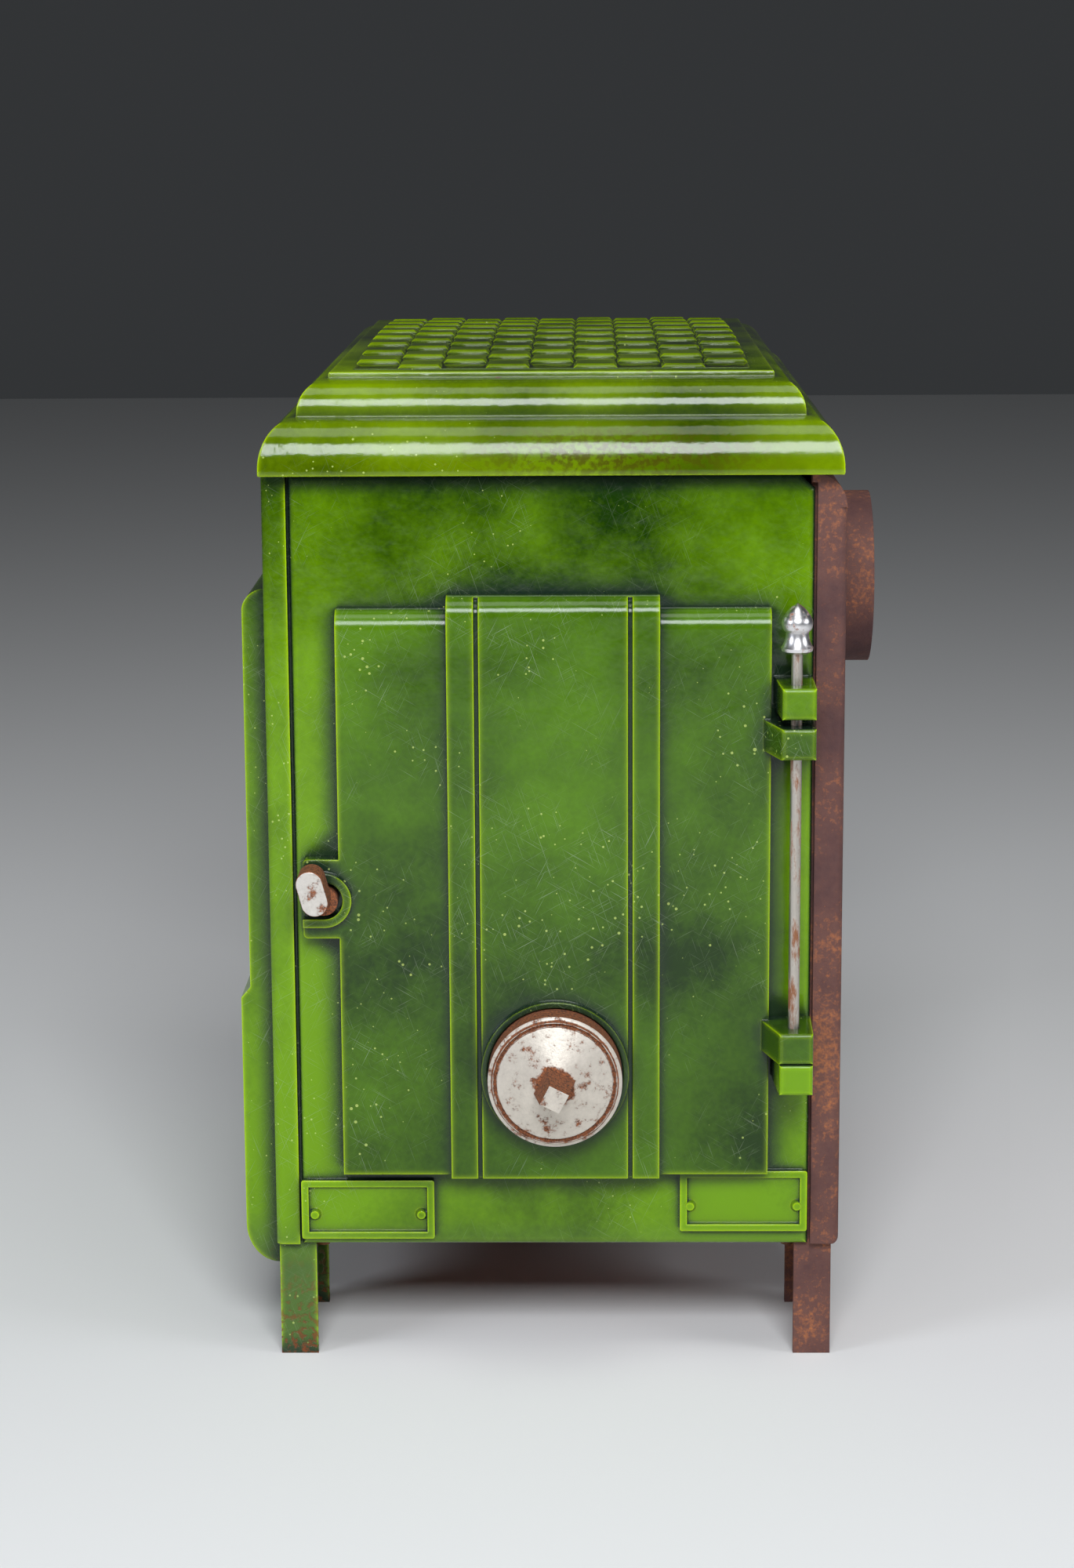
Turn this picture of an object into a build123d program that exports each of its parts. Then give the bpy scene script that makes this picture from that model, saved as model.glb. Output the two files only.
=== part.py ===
from build123d import *
import os
from math import sqrt

# A long enamelled cast-iron wood stove, seen in the photo from its narrow door end.
# All sizes are in millimetres. +Z is up, the door end faces -Y, the decorated side
# faces -X and the bare side with the flue collar faces +X. The origin lies on the
# floor, under the middle of the overall box.

# The firebox: two end panels held between two side castings
end_w = 328.0            # width of an end panel
body_l = 560.0           # from the face of the door end to the face of the far end
leg_h = 77.0             # floor to the lower edge of the end panels
panel_h = 501.5          # height of the end panels
wall = 6.0               # thickness of the cast walls
panel_gap = 1.5          # dark gap between an end panel and the corner posts
post_w = 15.5            # corner post, seen from the end
post_d = 18.0            # corner post, along the stove
post_round = 5.0
back_extra = 3.0         # the posts of the back side stand out this much more
back_roll = 22.0         # radius of the rolled top edge of the back side
rebate_w = 4.0           # how far the side castings reach behind an end panel
edge_round = 4.0         # rounded outer edges of the end panels
touch = 0.3              # air between castings that are set close but not in contact

# Legs: a channel cast on each end of each side
leg_w = 24.0
leg_l = 100.0
leg_t = 5.0
leg_set = 1.5            # the leg's outer face lies this far inside the side casting
ledge_t = 6.0            # ledge that carries the base plate
ledge_w = 12.0

# Relief of the decorated side
relief_inset = 22.0      # from each end of the stove
relief_up = 15.5         # upper field, standing out of the posts
relief_low = 21.5        # lower field
relief_top_z = 504.0
shoulder_h = 14.0
relief_mid_z = 244.0
relief_step = 7.0
relief_low_z = 84.0
skirt_z = 57.5
arch_count = 5
arch_w = 74.0
arch_margin = 16.0       # from the ends of the field to the arches, above and below them
arch_cut = 3.0
flute_count = 21
flute_w = 12.0
flute_cut = 2.5

# Stepped top cover
lid_over = 15.0          # overhang past the end panels
tier1_h = 34.5
tier2_h = 22.5
tier3_h = 4.0
step1 = 22.5             # how far tier 2 is set in from tier 1
step2 = 19.0
tier_lip = 4.0           # straight part under each quarter-round
square = 27.7            # side of a chequer square
columns = 9
rows = 17
arch_rise = 5.3          # the chequered field is slightly arched along the stove
chequer_lift = 2.9       # its edge stands this much above the top tier
pocket = 2.5             # depth of a sunken square
pocket_draft = 40.0
lid_boss_r = 10.0

# Door and its opening
opening_margin = 28.0    # the door covers the end panel by this much at each side
opening_z = 148.0
opening_h = 320.0
opening_round = 12.0
door_x = 0.8
door_margin = 28.0       # end panel seen at each side of the door
door_z = 129.0
door_h = 366.0
door_gap = 1.0           # between the door's back and the end panel
wing_t = 14.0            # how far the wings stand out
strip_w = 133.0
strip_t = 19.0           # how far the middle strip stands out
strip_up = 8.5           # the strip runs past the wings at the top
strip_down = 1.2
roll_r = 12.0            # rolled top edges
groove_x = 48.0
groove_w = 3.0
groove_cut = 2.5
groove_wrap = 70         # degrees that the grooves run over the rolled top
pocket_wall = 6.0        # iron left in front of the door's hollow back
rope_w = 9.0
rope_d = 5.0
liner_play = 10.0        # round the liner, inside the opening
liner_h = 196.0
liner_t = 3.0
liner_in = 4.0           # the liner lies this far inside the end panel's face
liner_post_in = 13.0     # the posts' middles, from the liner's sides
liner_post_r = 7.0
liner_edge = 18.0
screw_r = 2.5

# Hinge
rod_set = 12.5           # hinge axis, inside the end panel's edge
rod_out = 31.0           # hinge axis in front of the end panel's face
rod_r = 3.5
running = 0.06           # radial clearance of everything that turns or slides
lug_w = 21.0
lug_base_w = 25.0
lug_depth = 48.0
lug_h = 19.6
lug_round = 2.0
lug_top_z = 431.0        # underside of the upper fixed lug
lug_low_z = 191.5        # underside of the lower fixed lug
lug_space = 5.5          # between the upper fixed lug and the door's lug
lug_rest = 0.5           # between the lower pair
door_lug_back = 3.0      # back of the door's lugs, in front of the end panel
rod_foot = 6.0           # iron left under the rod in the blind lug
finial_z = 470.5
tenon = 8.0              # end of the rod inside the finial

# Latch
latch_out = 9.4          # latch axis, outside the door's edge
latch_z = 310.9
latch_tilt = 15.0
tab_l = 28.0
tab_out = 13.4           # the tab reaches this far past the latch spindle
tab_h = 51.0
rim_r = 17.5
notch_r = 12.0
rim_h = 5.0
tab_floor = 5.0
latch_r = 5.0
latch_thread = 3.0
latch_nut_af = 10.0
latch_nut_h = 5.0
handle_w = 17.0
handle_h = 29.3
handle_gap = 2.0         # between the rim and the back of the handle
handle_l = 22.0
handle_dx = -5.4         # middle of the handle from its spindle
handle_dz = 10.0
tongue_w = 10.0
tongue_l = 28.0
tongue_t = 5.0
tongue_gap = 1.5
slot_play = 3.5          # room round the tongue in the end panel's slot

# Air valve
valve_x = 1.0
valve_z = 198.7
ring_r = 47.0
ring_in = 43.5
ring_h = 5.0
disc_r = 42.5
disc_t = 25.0
disc_wall = 5.0
cone_h = 9.0
stub_l = 27.0
stub_base = 20.0
stub_tip = 13.6
stub_turn = -27.0
seat_gap = 0.3
valve_travel = 10.0
spindle_r = 6.0
hub_r = 16.0
hub_in = 4.0             # the threaded hub reaches this far into the opening
air_hole_r = 7.0
air_ring_r = 27.0        # ring of the air holes
guide_out = 20.0         # guide pin of the tab washer, from the valve axis
guide_r = 2.0
washer_t = 2.0
stop_nut_af = 19.0
stop_nut_h = 8.0

# Flue collar
flue_drop = 103.5        # the collar's axis below the top of the sides
flue_lift = 67.0         # the collar's axis above the baffle
collar_r = 60.0
collar_wall = 5.0
collar_l = 33.0          # male part outside the flange
flange_r = 80.0
flange_t = 6.0
bolt_ring_r = 71.0       # ring of the collar's bolts
seal_set = 4.0           # the rope lies this far outside the collar's bore
seal_w = 6.0
seal_d = 3.0
bolt_head = 5.5
bolt_past = 3.0          # the bolts' ends past their nuts

# Inside
base_z = 80.0            # underside of the base plate
base_t = 6.0
liner_iron = 10.0        # thickness of burn plates and hearth plate
burn_set = 4.0           # fire side of the long burn plates, inside the end panel's edge
burn_y0 = 34.0           # burn plates start this far inside the door end
burn_end = 20.0          # back of the end burn plate, from the far face
rib_w = 8.0
rib_cut = 3.0
baffle_y0 = 130.0
baffle_t = 10.0
guard_w = 220.0
guard_h = 52.0
guard_t = 8.0
guard_y = 20.0
tie_set = 12.0           # tie rods, inside the end panel's edge
tie_y = 24.0
bolt_r = 4.0
nut_af = 13.0
nut_h = 6.5

# Places that follow from the sizes above
side_out = end_w / 2 + panel_gap + post_w
door_w = end_w - 2 * door_margin
opening_w = door_w - 2 * opening_margin
rod_x = end_w / 2 - rod_set
latch_x = door_x - door_w / 2 - latch_out
burn_x = end_w / 2 - burn_set
tie_x = end_w / 2 - tie_set
liner_w = opening_w - 2 * liner_play
liner_z = opening_z + opening_h - liner_play - liner_h
liner_post_x = liner_w / 2 - liner_post_in
back_out = side_out + back_extra
top_z = leg_h + panel_h
flue_z = top_z - flue_drop
burn_h = flue_z - flue_lift - baffle_t - base_t - base_z
collar_reach = side_out + flange_t + collar_l
front_reach = strip_t + seat_gap + disc_t + cone_h + stub_l
mid_x = (side_out + relief_low - collar_reach) / 2
face_y = (front_reach - body_l - lid_over) / 2
far_y = face_y + body_l
mid_y = (face_y + far_y) / 2
base_top = base_z + base_t
lid_top = tier1_h + tier2_h + tier3_h

# x to the right, y up, standing out towards the person at the door
front = Plane(origin=(mid_x, face_y, 0), x_dir=(1, 0, 0), z_dir=(0, -1, 0))
# Square to the decorated side, with its y up
side = Plane(origin=(mid_x, mid_y, 0), x_dir=(0, -1, 0), z_dir=(-1, 0, 0))
# Half section round an axis that points at the user: x is the radius
valve_axis = Axis((mid_x + valve_x, face_y, valve_z), (0, -1, 0))
valve_plane = Plane(origin=valve_axis.position, x_dir=(1, 0, 0), z_dir=(0, 0, -1))
flue_axis = Axis((mid_x, mid_y, flue_z), (1, 0, 0))
flue_plane = Plane(origin=flue_axis.position, x_dir=(0, 1, 0), z_dir=(0, 0, -1))

os.makedirs("parts", exist_ok=True)


def keep(piece, name):
    """Name a finished piece and write it."""
    piece.part.label = name
    export_step(piece.part, f"parts/{name}.step")


def both_ends(x, y_from_end):
    """The same place at the door end and at the far end."""
    return [(mid_x + x, face_y + y_from_end), (mid_x + x, far_y - y_from_end)]


def four_corners(x, y_from_end):
    return both_ends(-x, y_from_end) + both_ends(x, y_from_end)


def side_plan(hand, out):
    """Plan of a side casting: plate, corner posts and the ribs behind the end panels."""
    inner = end_w / 2 + panel_gap
    start = Align.MIN if hand > 0 else Align.MAX
    end = Align.MAX if hand > 0 else Align.MIN
    with Locations((mid_x + hand * side_out, mid_y)):
        Rectangle(wall, body_l, align=(end, Align.CENTER))
    with Locations(*both_ends(hand * inner, post_d / 2)):
        Rectangle(out - inner, post_d, align=(start, Align.CENTER))
    with Locations(*both_ends(hand * (inner - rebate_w), wall + ledge_t / 2)):
        Rectangle(rebate_w + 1, ledge_t, align=(start, Align.CENTER))


def ledge_and_legs(hand):
    """Ledge for the base plate and a channel leg at each end, joined to the current part."""
    end = Align.MAX if hand > 0 else Align.MIN
    with BuildSketch(Plane.XY.offset(base_z - ledge_t)) as ledge:
        with Locations((mid_x + hand * (side_out - wall / 2), mid_y)):
            Rectangle(wall / 2 + ledge_w, body_l - 2 * wall, align=(end, Align.CENTER))
    extrude(ledge.sketch, amount=ledge_t)
    outer = side_out - leg_set
    with BuildSketch(Plane.XY) as legs:
        with Locations(*both_ends(hand * outer, wall + leg_l / 2)):
            Rectangle(leg_w, leg_l, align=(end, Align.CENTER))
        with Locations(*both_ends(hand * (outer - leg_t), wall + leg_l / 2)):
            Rectangle(leg_w, leg_l - 2 * leg_t, align=(end, Align.CENTER), mode=Mode.SUBTRACT)
    extrude(legs.sketch, amount=base_z - ledge_t / 2)


# Decorated side casting, with its posts, hollow relief and legs
with BuildPart() as facade_panel:
    with BuildSketch(Plane.XY.offset(leg_h)) as plan:
        side_plan(-1, side_out)
        fillet(plan.vertices().sort_by(Axis.X)[:2], post_round)
    extrude(amount=panel_h)
    ledge_and_legs(-1)
    with BuildSketch(front.offset(-relief_inset)):
        with BuildLine():
            shoulder = EllipticalCenterArc((-side_out, relief_top_z - shoulder_h), relief_up, shoulder_h,
                                           start_angle=90, arc_size=90)
            mid = Polyline(shoulder @ 1,
                           (-side_out - relief_up, relief_mid_z),
                           (-side_out - relief_low, relief_mid_z - relief_step),
                           (-side_out - relief_low, relief_low_z))
            skirt = EllipticalCenterArc((-side_out, relief_low_z), relief_low, relief_low_z - skirt_z,
                                        start_angle=180, arc_size=90)
            Polyline(skirt @ 1,
                     (-side_out + wall, skirt_z),
                     (-side_out + wall, relief_top_z),
                     shoulder @ 0)
        make_face()
    extrude(amount=-(body_l - 2 * relief_inset))
    # the hollow behind the relief
    with BuildSketch(front.offset(-relief_inset - wall)):
        with Locations((-side_out - relief_up + wall, relief_mid_z - relief_step - wall)):
            Rectangle(relief_up + 1, relief_top_z - shoulder_h - relief_mid_z + relief_step + wall,
                      align=(Align.MIN, Align.MIN))
        with Locations((-side_out - relief_low + wall, base_top + wall)):
            Rectangle(relief_low + 1, relief_mid_z - relief_step - 2 * wall - base_top,
                      align=(Align.MIN, Align.MIN))
    extrude(amount=-(body_l - 2 * relief_inset - 2 * wall), mode=Mode.SUBTRACT)
    # an arcade of sunken round-headed panels over a row of upright flutes
    field_l = body_l - 2 * relief_inset
    arch_pitch = (field_l - arch_margin) / arch_count
    arch_z0 = relief_mid_z + arch_margin
    arch_top = relief_top_z - shoulder_h - arch_margin
    with BuildSketch(side.offset(side_out + relief_up)):
        with GridLocations(arch_pitch, 1, arch_count, 1):
            with Locations((0, arch_z0)):
                Rectangle(arch_w, arch_top - arch_w / 2 - arch_z0, align=(Align.CENTER, Align.MIN))
            with Locations((0, arch_top - arch_w / 2)):
                Circle(arch_w / 2)
        with GridLocations(arch_pitch, 1, arch_count, 1):
            with Locations((0, (arch_z0 + arch_top) / 2 - arch_margin)):
                Rectangle(arch_w / 2, arch_w / 2, rotation=45, mode=Mode.SUBTRACT)
    extrude(amount=-arch_cut, mode=Mode.SUBTRACT)
    flute_h = relief_mid_z - relief_step - relief_low_z - flute_w
    with BuildSketch(side.offset(side_out + relief_low)):
        with Locations((0, (relief_mid_z - relief_step + relief_low_z) / 2)):
            with GridLocations((field_l - flute_w) / flute_count, 1, flute_count, 1):
                SlotOverall(flute_h, flute_w, rotation=90)
    extrude(amount=-flute_cut, mode=Mode.SUBTRACT)
keep(facade_panel, "facade_panel")


# Bare side casting, with its rolled top edge, the flue hole and legs
with BuildPart() as back_panel:
    with BuildSketch(Plane.XY.offset(leg_h)) as plan:
        side_plan(1, back_out)
        fillet(plan.vertices().sort_by(Axis.X)[-4:].sort_by(Axis.Y)[0::3], post_round)
    extrude(amount=panel_h)
    # the top edge is rolled over, and the lower corner rounded
    with BuildSketch(front):
        with Locations((back_out - back_roll, top_z - back_roll)):
            Rectangle(back_roll + 1, back_roll + 1, align=(Align.MIN, Align.MIN))
            Circle(back_roll, mode=Mode.SUBTRACT)
    extrude(amount=-body_l, mode=Mode.SUBTRACT)
    with BuildSketch(front):
        with Locations((back_out - post_round, leg_h + post_round)):
            Rectangle(post_round + 1, post_round + 1, align=(Align.MIN, Align.MAX))
            Circle(post_round, mode=Mode.SUBTRACT)
    extrude(amount=-body_l, mode=Mode.SUBTRACT)
    with BuildSketch(front):
        with Locations((back_out - back_roll, top_z - back_roll)):
            Circle(back_roll)
            Circle(back_roll - wall, mode=Mode.SUBTRACT)
            Rectangle(2 * back_roll, 2 * back_roll, align=(Align.MAX, Align.CENTER), mode=Mode.SUBTRACT)
            Rectangle(2 * back_roll, 2 * back_roll, align=(Align.CENTER, Align.MAX), mode=Mode.SUBTRACT)
    extrude(amount=-body_l)
    ledge_and_legs(1)
    with Locations(Plane(origin=(mid_x + side_out, mid_y, flue_z), z_dir=(1, 0, 0))):
        Hole(collar_r - collar_wall + 2, depth=2 * wall)
        with PolarLocations(bolt_ring_r, 3, start_angle=90):
            Hole(bolt_r + running, depth=2 * wall)
keep(back_panel, "back_panel")


def lug(z, base_x0, base_x1, base_out):
    """A hinge lug that narrows towards its front, bored for the rod."""
    with BuildSketch(front.offset(base_out)) as foot:
        with Locations(((base_x0 + base_x1) / 2, z + lug_h / 2)):
            Rectangle(base_x1 - base_x0, lug_h)
    with BuildSketch(front.offset(lug_depth)) as nose:
        with Locations((rod_x + 1, z + lug_h / 2)):
            Rectangle(lug_w, lug_h)
    loft([foot.sketch, nose.sketch])


def soften_lug(part, z):
    """Round the front edges of the lug whose underside is at z."""
    near = part.faces().filter_by(Axis.Y).sort_by(Axis.Y)
    face = [f for f in near if abs(f.center().Z - z - lug_h / 2) < 1 and f.width < 2 * lug_w][0]
    fillet(face.edges(), lug_round)


def rod_hole(z, depth):
    """Bore for the hinge rod, downwards from z."""
    with Locations((mid_x + rod_x, face_y - rod_out, z)):
        Cylinder(rod_r + running, depth, align=(Align.CENTER, Align.CENTER, Align.MAX), mode=Mode.SUBTRACT)


# Framed tags at the foot of the door end: middle x, middle z, width, height
tags = ((0.2 + 43.0 - end_w / 2, 101.8, 86.0, 39.4), (end_w / 2 - 42.0, 107.4, 82.0, 40.5))
tag_rise = 4.0
tag_field = 2.0
tag_frame = 4.5
rivet_r = 4.2
rivet_at = 34.5
rivet_drop = 3.5

# Door end, with the opening, the fixed hinge lugs and the latch slot
with BuildPart() as door_end_panel:
    with BuildSketch(front) as face:
        with Locations((0, leg_h + panel_h / 2)):
            Rectangle(end_w, panel_h)
        chamfer(face.vertices().sort_by(Axis.Y)[-2:].sort_by(Axis.X)[-1], wall + edge_round)
    extrude(amount=-wall)
    fillet(door_end_panel.faces().sort_by(Axis.Y)[0].edges(), edge_round)
    with BuildSketch(front):
        with Locations((0, opening_z + opening_h / 2)):
            RectangleRounded(opening_w, opening_h, opening_round)
        with Locations((latch_x, latch_z)):
            SlotOverall(tongue_l + 2 * slot_play, tongue_w + 2 * slot_play, rotation=90 + latch_tilt)
    extrude(amount=-wall, mode=Mode.SUBTRACT)
    for z in (lug_top_z, lug_low_z):
        lug(z, end_w / 2 - lug_base_w, end_w / 2 - 1, -1)
        soften_lug(door_end_panel, z)
    rod_hole(lug_top_z + lug_h, lug_h)
    rod_hole(lug_low_z + lug_h, lug_h - rod_foot)
    for x, z, w, h in tags:
        with BuildSketch(front):
            with Locations((x, z)):
                RectangleRounded(w, h, 1.5)
        extrude(amount=tag_rise)
        with BuildSketch(front.offset(tag_rise)):
            with Locations((x, z)):
                Rectangle(w - 2 * tag_frame, h - 2 * tag_frame)
        extrude(amount=-tag_field, mode=Mode.SUBTRACT, taper=20)
        for at in (-rivet_at, rivet_at):
            with Locations(front.offset(tag_rise - tag_field) * Location((x + at, z - rivet_drop, 0))):
                Cone(rivet_r, rivet_r * 0.6, rivet_r * 0.6, align=(Align.CENTER, Align.CENTER, Align.MIN))
keep(door_end_panel, "door_end_panel")


# Far end, plain, with the same rounded edges
with BuildPart() as far_end_panel:
    with BuildSketch(front.offset(-body_l + wall)) as face:
        with Locations((0, leg_h + panel_h / 2)):
            Rectangle(end_w, panel_h)
        chamfer(face.vertices().sort_by(Axis.Y)[-2:].sort_by(Axis.X)[-1], wall + edge_round)
    extrude(amount=-wall)
    fillet(far_end_panel.faces().sort_by(Axis.Y)[-1].edges(), edge_round)
keep(far_end_panel, "far_end_panel")


def stepped_section(half):
    """Closed section through the three tiers, over its own middle line."""
    with BuildLine() as section:
        Line((0, 0), (half, 0))
        Line((half, 0), (half, tier_lip))
        low = EllipticalCenterArc((half - step1, tier_lip), step1, tier1_h - tier_lip,
                                  start_angle=0, arc_size=90)
        Line(low @ 1, (half - step1, tier1_h + tier_lip / 2))
        high = EllipticalCenterArc((half - step1 - step2, tier1_h + tier_lip / 2), step2,
                                   tier2_h - tier_lip / 2, start_angle=0, arc_size=90)
        Polyline(high @ 1, (half - step1 - step2, lid_top), (0, lid_top))
        mirror(about=Plane.YZ)
    make_face(section.edges())


def chequer_height(y):
    """Height of the arched field over the foot of the cover, y from its middle."""
    half = rows * square / 2
    return lid_top + chequer_lift + arch_rise * (1 - (y / half) ** 2)


# Stepped, arched and chequered top cover
with BuildPart() as top_cover:
    across = Plane(origin=(mid_x, mid_y, top_z), x_dir=(1, 0, 0), z_dir=(0, -1, 0))
    along = Plane(origin=(mid_x, mid_y, top_z), x_dir=(0, 1, 0), z_dir=(1, 0, 0))
    with BuildSketch(across):
        stepped_section(side_out)
    extrude(amount=body_l / 2 + lid_over, both=True)
    with BuildSketch(along):
        stepped_section(body_l / 2 + lid_over)
    extrude(amount=side_out, both=True, mode=Mode.INTERSECT)
    # hollow from below, in two steps, with bosses for the tie rods
    rim = post_w - 2
    with BuildSketch(Plane.XY.offset(top_z)):
        with Locations((mid_x, mid_y)):
            RectangleRounded(2 * (side_out - rim), body_l - 2 * rim, 8)
    extrude(amount=tier1_h - wall, mode=Mode.SUBTRACT)
    with BuildSketch(Plane.XY.offset(top_z)):
        with Locations((mid_x, mid_y)):
            RectangleRounded(2 * (side_out - step1 - wall - 2), body_l + 2 * (lid_over - step1 - wall - 2), 8)
    extrude(amount=tier1_h + tier2_h - wall, mode=Mode.SUBTRACT)
    with BuildSketch(Plane.XY.offset(top_z + 2)):
        with Locations(*four_corners(tie_x, tie_y)):
            Circle(lid_boss_r)
    extrude(amount=tier1_h - wall - 1)
    with Locations(*[(x, y, top_z) for x, y in four_corners(tie_x, tie_y)]):
        Cylinder(bolt_r + running, tier1_h - wall, align=(Align.CENTER, Align.CENTER, Align.MIN), mode=Mode.SUBTRACT)
    # the arched field
    half_l = rows * square / 2
    with BuildSketch(along):
        with BuildLine():
            seams = [(row - rows / 2) * square for row in range(rows + 1)]
            crown = Polyline(*[(y, chequer_height(y)) for y in seams])
            Polyline(crown @ 1, (half_l, lid_top - 1), (-half_l, lid_top - 1), crown @ 0)
        make_face()
    extrude(amount=columns * square / 2, both=True)
    # sunken squares, row by row, so that each follows the arch
    for row in range(rows):
        y = (row - (rows - 1) / 2) * square
        first = row % 2
        spots = [((c - (columns - 1) / 2) * square, 0) for c in range(first, columns, 2)]
        top = top_z + chequer_height(abs(y) - square / 2 if row != rows // 2 else 0)
        with BuildSketch(Plane(origin=(mid_x, mid_y + y, top))):
            with Locations(*spots):
                Rectangle(square - 1, square - 1)
        extrude(amount=-pocket, taper=pocket_draft, mode=Mode.SUBTRACT)
keep(top_cover, "top_cover")


# Inside: base plate on the ledges, tied to the cover by four long rods
with BuildPart() as base_plate:
    with BuildSketch(Plane.XY.offset(base_z)):
        with Locations((mid_x, mid_y)):
            Rectangle(2 * (side_out - wall - touch), body_l - 2 * post_d - 1)
            Rectangle(end_w - 2 * rebate_w, body_l - 2 * wall - 2 * touch)
        with Locations(*four_corners(tie_x, tie_y)):
            Circle(bolt_r + running, mode=Mode.SUBTRACT)
    extrude(amount=base_t)
keep(base_plate, "base_plate")


rod_start = base_z - nut_h - bolt_r
with BuildPart() as tie_rods:
    with Locations(*[(x, y, rod_start) for x, y in four_corners(tie_x, tie_y)]):
        Cylinder(bolt_r, top_z + tier1_h - wall - rod_start, align=(Align.CENTER, Align.CENTER, Align.MIN))
keep(tie_rods, "tie_rods")


with BuildPart() as tie_nuts:
    with BuildSketch(Plane.XY.offset(base_z)):
        with Locations(*four_corners(tie_x, tie_y)):
            RegularPolygon(nut_af / 2, 6, major_radius=False)
            Circle(bolt_r, mode=Mode.SUBTRACT)
    extrude(amount=-nut_h)
keep(tie_nuts, "tie_nuts")


# Replaceable iron that lines the fire
hearth_w = 2 * (burn_x - touch)
hearth_y0 = tie_y + bolt_r + 2
hearth_y1 = body_l - burn_end - liner_iron - touch
with BuildPart() as hearth_plate:
    with BuildSketch(Plane.XY.offset(base_top)):
        with Locations((mid_x, face_y + (hearth_y0 + hearth_y1) / 2)):
            Rectangle(hearth_w, hearth_y1 - hearth_y0)
    extrude(amount=liner_iron)
keep(hearth_plate, "hearth_plate")

burn_l = body_l - 2 * burn_y0


def ribs(length, pitch_count):
    """Upright ribs in the fire side of a burn plate, as sunken strips between them."""
    with GridLocations(length / pitch_count, 1, pitch_count, 1):
        Rectangle(length / pitch_count - rib_w, burn_h - 4 * rib_w)


with BuildPart() as burn_plate_facade:
    burn_side = Plane(origin=(mid_x - burn_x, mid_y, base_top + burn_h / 2), x_dir=(0, 1, 0), z_dir=(1, 0, 0))
    with BuildSketch(burn_side):
        Rectangle(burn_l, burn_h)
    extrude(amount=-liner_iron)
    with BuildSketch(burn_side) as strips:
        ribs(burn_l, 14)
    extrude(amount=-rib_cut, mode=Mode.SUBTRACT)
keep(burn_plate_facade, "burn_plate_facade")


with BuildPart() as burn_plate_back:
    burn_side = Plane(origin=(mid_x + burn_x, mid_y, base_top + burn_h / 2), x_dir=(0, 1, 0), z_dir=(-1, 0, 0))
    with BuildSketch(burn_side):
        Rectangle(burn_l, burn_h)
    extrude(amount=-liner_iron)
    with BuildSketch(burn_side) as strips:
        ribs(burn_l, 14)
    extrude(amount=-rib_cut, mode=Mode.SUBTRACT)
keep(burn_plate_back, "burn_plate_back")

end_burn_w = 2 * (tie_x - bolt_r - 2)
with BuildPart() as burn_plate_end:
    burn_end_face = Plane(origin=(mid_x, far_y - burn_end - liner_iron, base_top + burn_h / 2),
                          x_dir=(1, 0, 0), z_dir=(0, -1, 0))
    with BuildSketch(burn_end_face):
        Rectangle(end_burn_w, burn_h)
    extrude(amount=-liner_iron)
    with BuildSketch(burn_end_face) as strips:
        ribs(end_burn_w, 8)
    extrude(amount=-rib_cut, mode=Mode.SUBTRACT)
keep(burn_plate_end, "burn_plate_end")


with BuildPart() as baffle_plate:
    with BuildSketch(Plane.XY.offset(base_top + burn_h)):
        with Locations((mid_x, face_y + baffle_y0)):
            Rectangle(2 * burn_x + liner_iron, body_l - burn_end - liner_iron - baffle_y0,
                      align=(Align.CENTER, Align.MIN))
    extrude(amount=baffle_t)
keep(baffle_plate, "baffle_plate")


with BuildPart() as ember_guard:
    with BuildSketch(front.offset(-guard_y)) as outline:
        with Locations((0, base_top)):
            Rectangle(guard_w, guard_h, align=(Align.CENTER, Align.MIN))
        chamfer(outline.vertices().sort_by(Axis.Y)[-2:], guard_t)
    extrude(amount=-guard_t)
keep(ember_guard, "ember_guard")


# Male flue collar with its flange, rope seal and bolts
seal_in = collar_r - collar_wall + seal_set
with BuildPart() as flue_collar:
    with BuildSketch(flue_plane):
        with Locations((collar_r - collar_wall, side_out)):
            Rectangle(flange_r - collar_r + collar_wall, flange_t, align=(Align.MIN, Align.MIN))
            Rectangle(collar_wall, flange_t + collar_l, align=(Align.MIN, Align.MIN))
        with Locations((seal_in, side_out)):
            Rectangle(seal_w, seal_d, align=(Align.MIN, Align.MIN), mode=Mode.SUBTRACT)
    revolve(axis=flue_axis)
    with Locations(Plane(origin=(mid_x + side_out + flange_t, mid_y, flue_z), z_dir=(1, 0, 0))):
        with PolarLocations(bolt_ring_r, 3, start_angle=90):
            Hole(bolt_r + running, depth=flange_t)
keep(flue_collar, "flue_collar")


with BuildPart() as collar_rope:
    with BuildSketch(flue_plane):
        with Locations((seal_in, side_out)):
            Rectangle(seal_w, seal_d, align=(Align.MIN, Align.MIN))
    revolve(axis=flue_axis)
keep(collar_rope, "collar_rope")


collar_face = Plane(origin=(mid_x + side_out + flange_t, mid_y, flue_z), z_dir=(1, 0, 0))
with BuildPart() as collar_bolts:
    with BuildSketch(collar_face):
        with PolarLocations(bolt_ring_r, 3, start_angle=90):
            RegularPolygon(nut_af / 2, 6, major_radius=False)
    extrude(amount=bolt_head)
    with BuildSketch(collar_face.offset(-flange_t - wall)):
        with PolarLocations(bolt_ring_r, 3, start_angle=90):
            RegularPolygon(nut_af / 2, 6, major_radius=False)
    extrude(amount=-nut_h)
    with BuildSketch(collar_face):
        with PolarLocations(bolt_ring_r, 3, start_angle=90):
            Circle(bolt_r)
    extrude(amount=-flange_t - wall - nut_h - bolt_past)
keep(collar_bolts, "collar_bolts")


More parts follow.
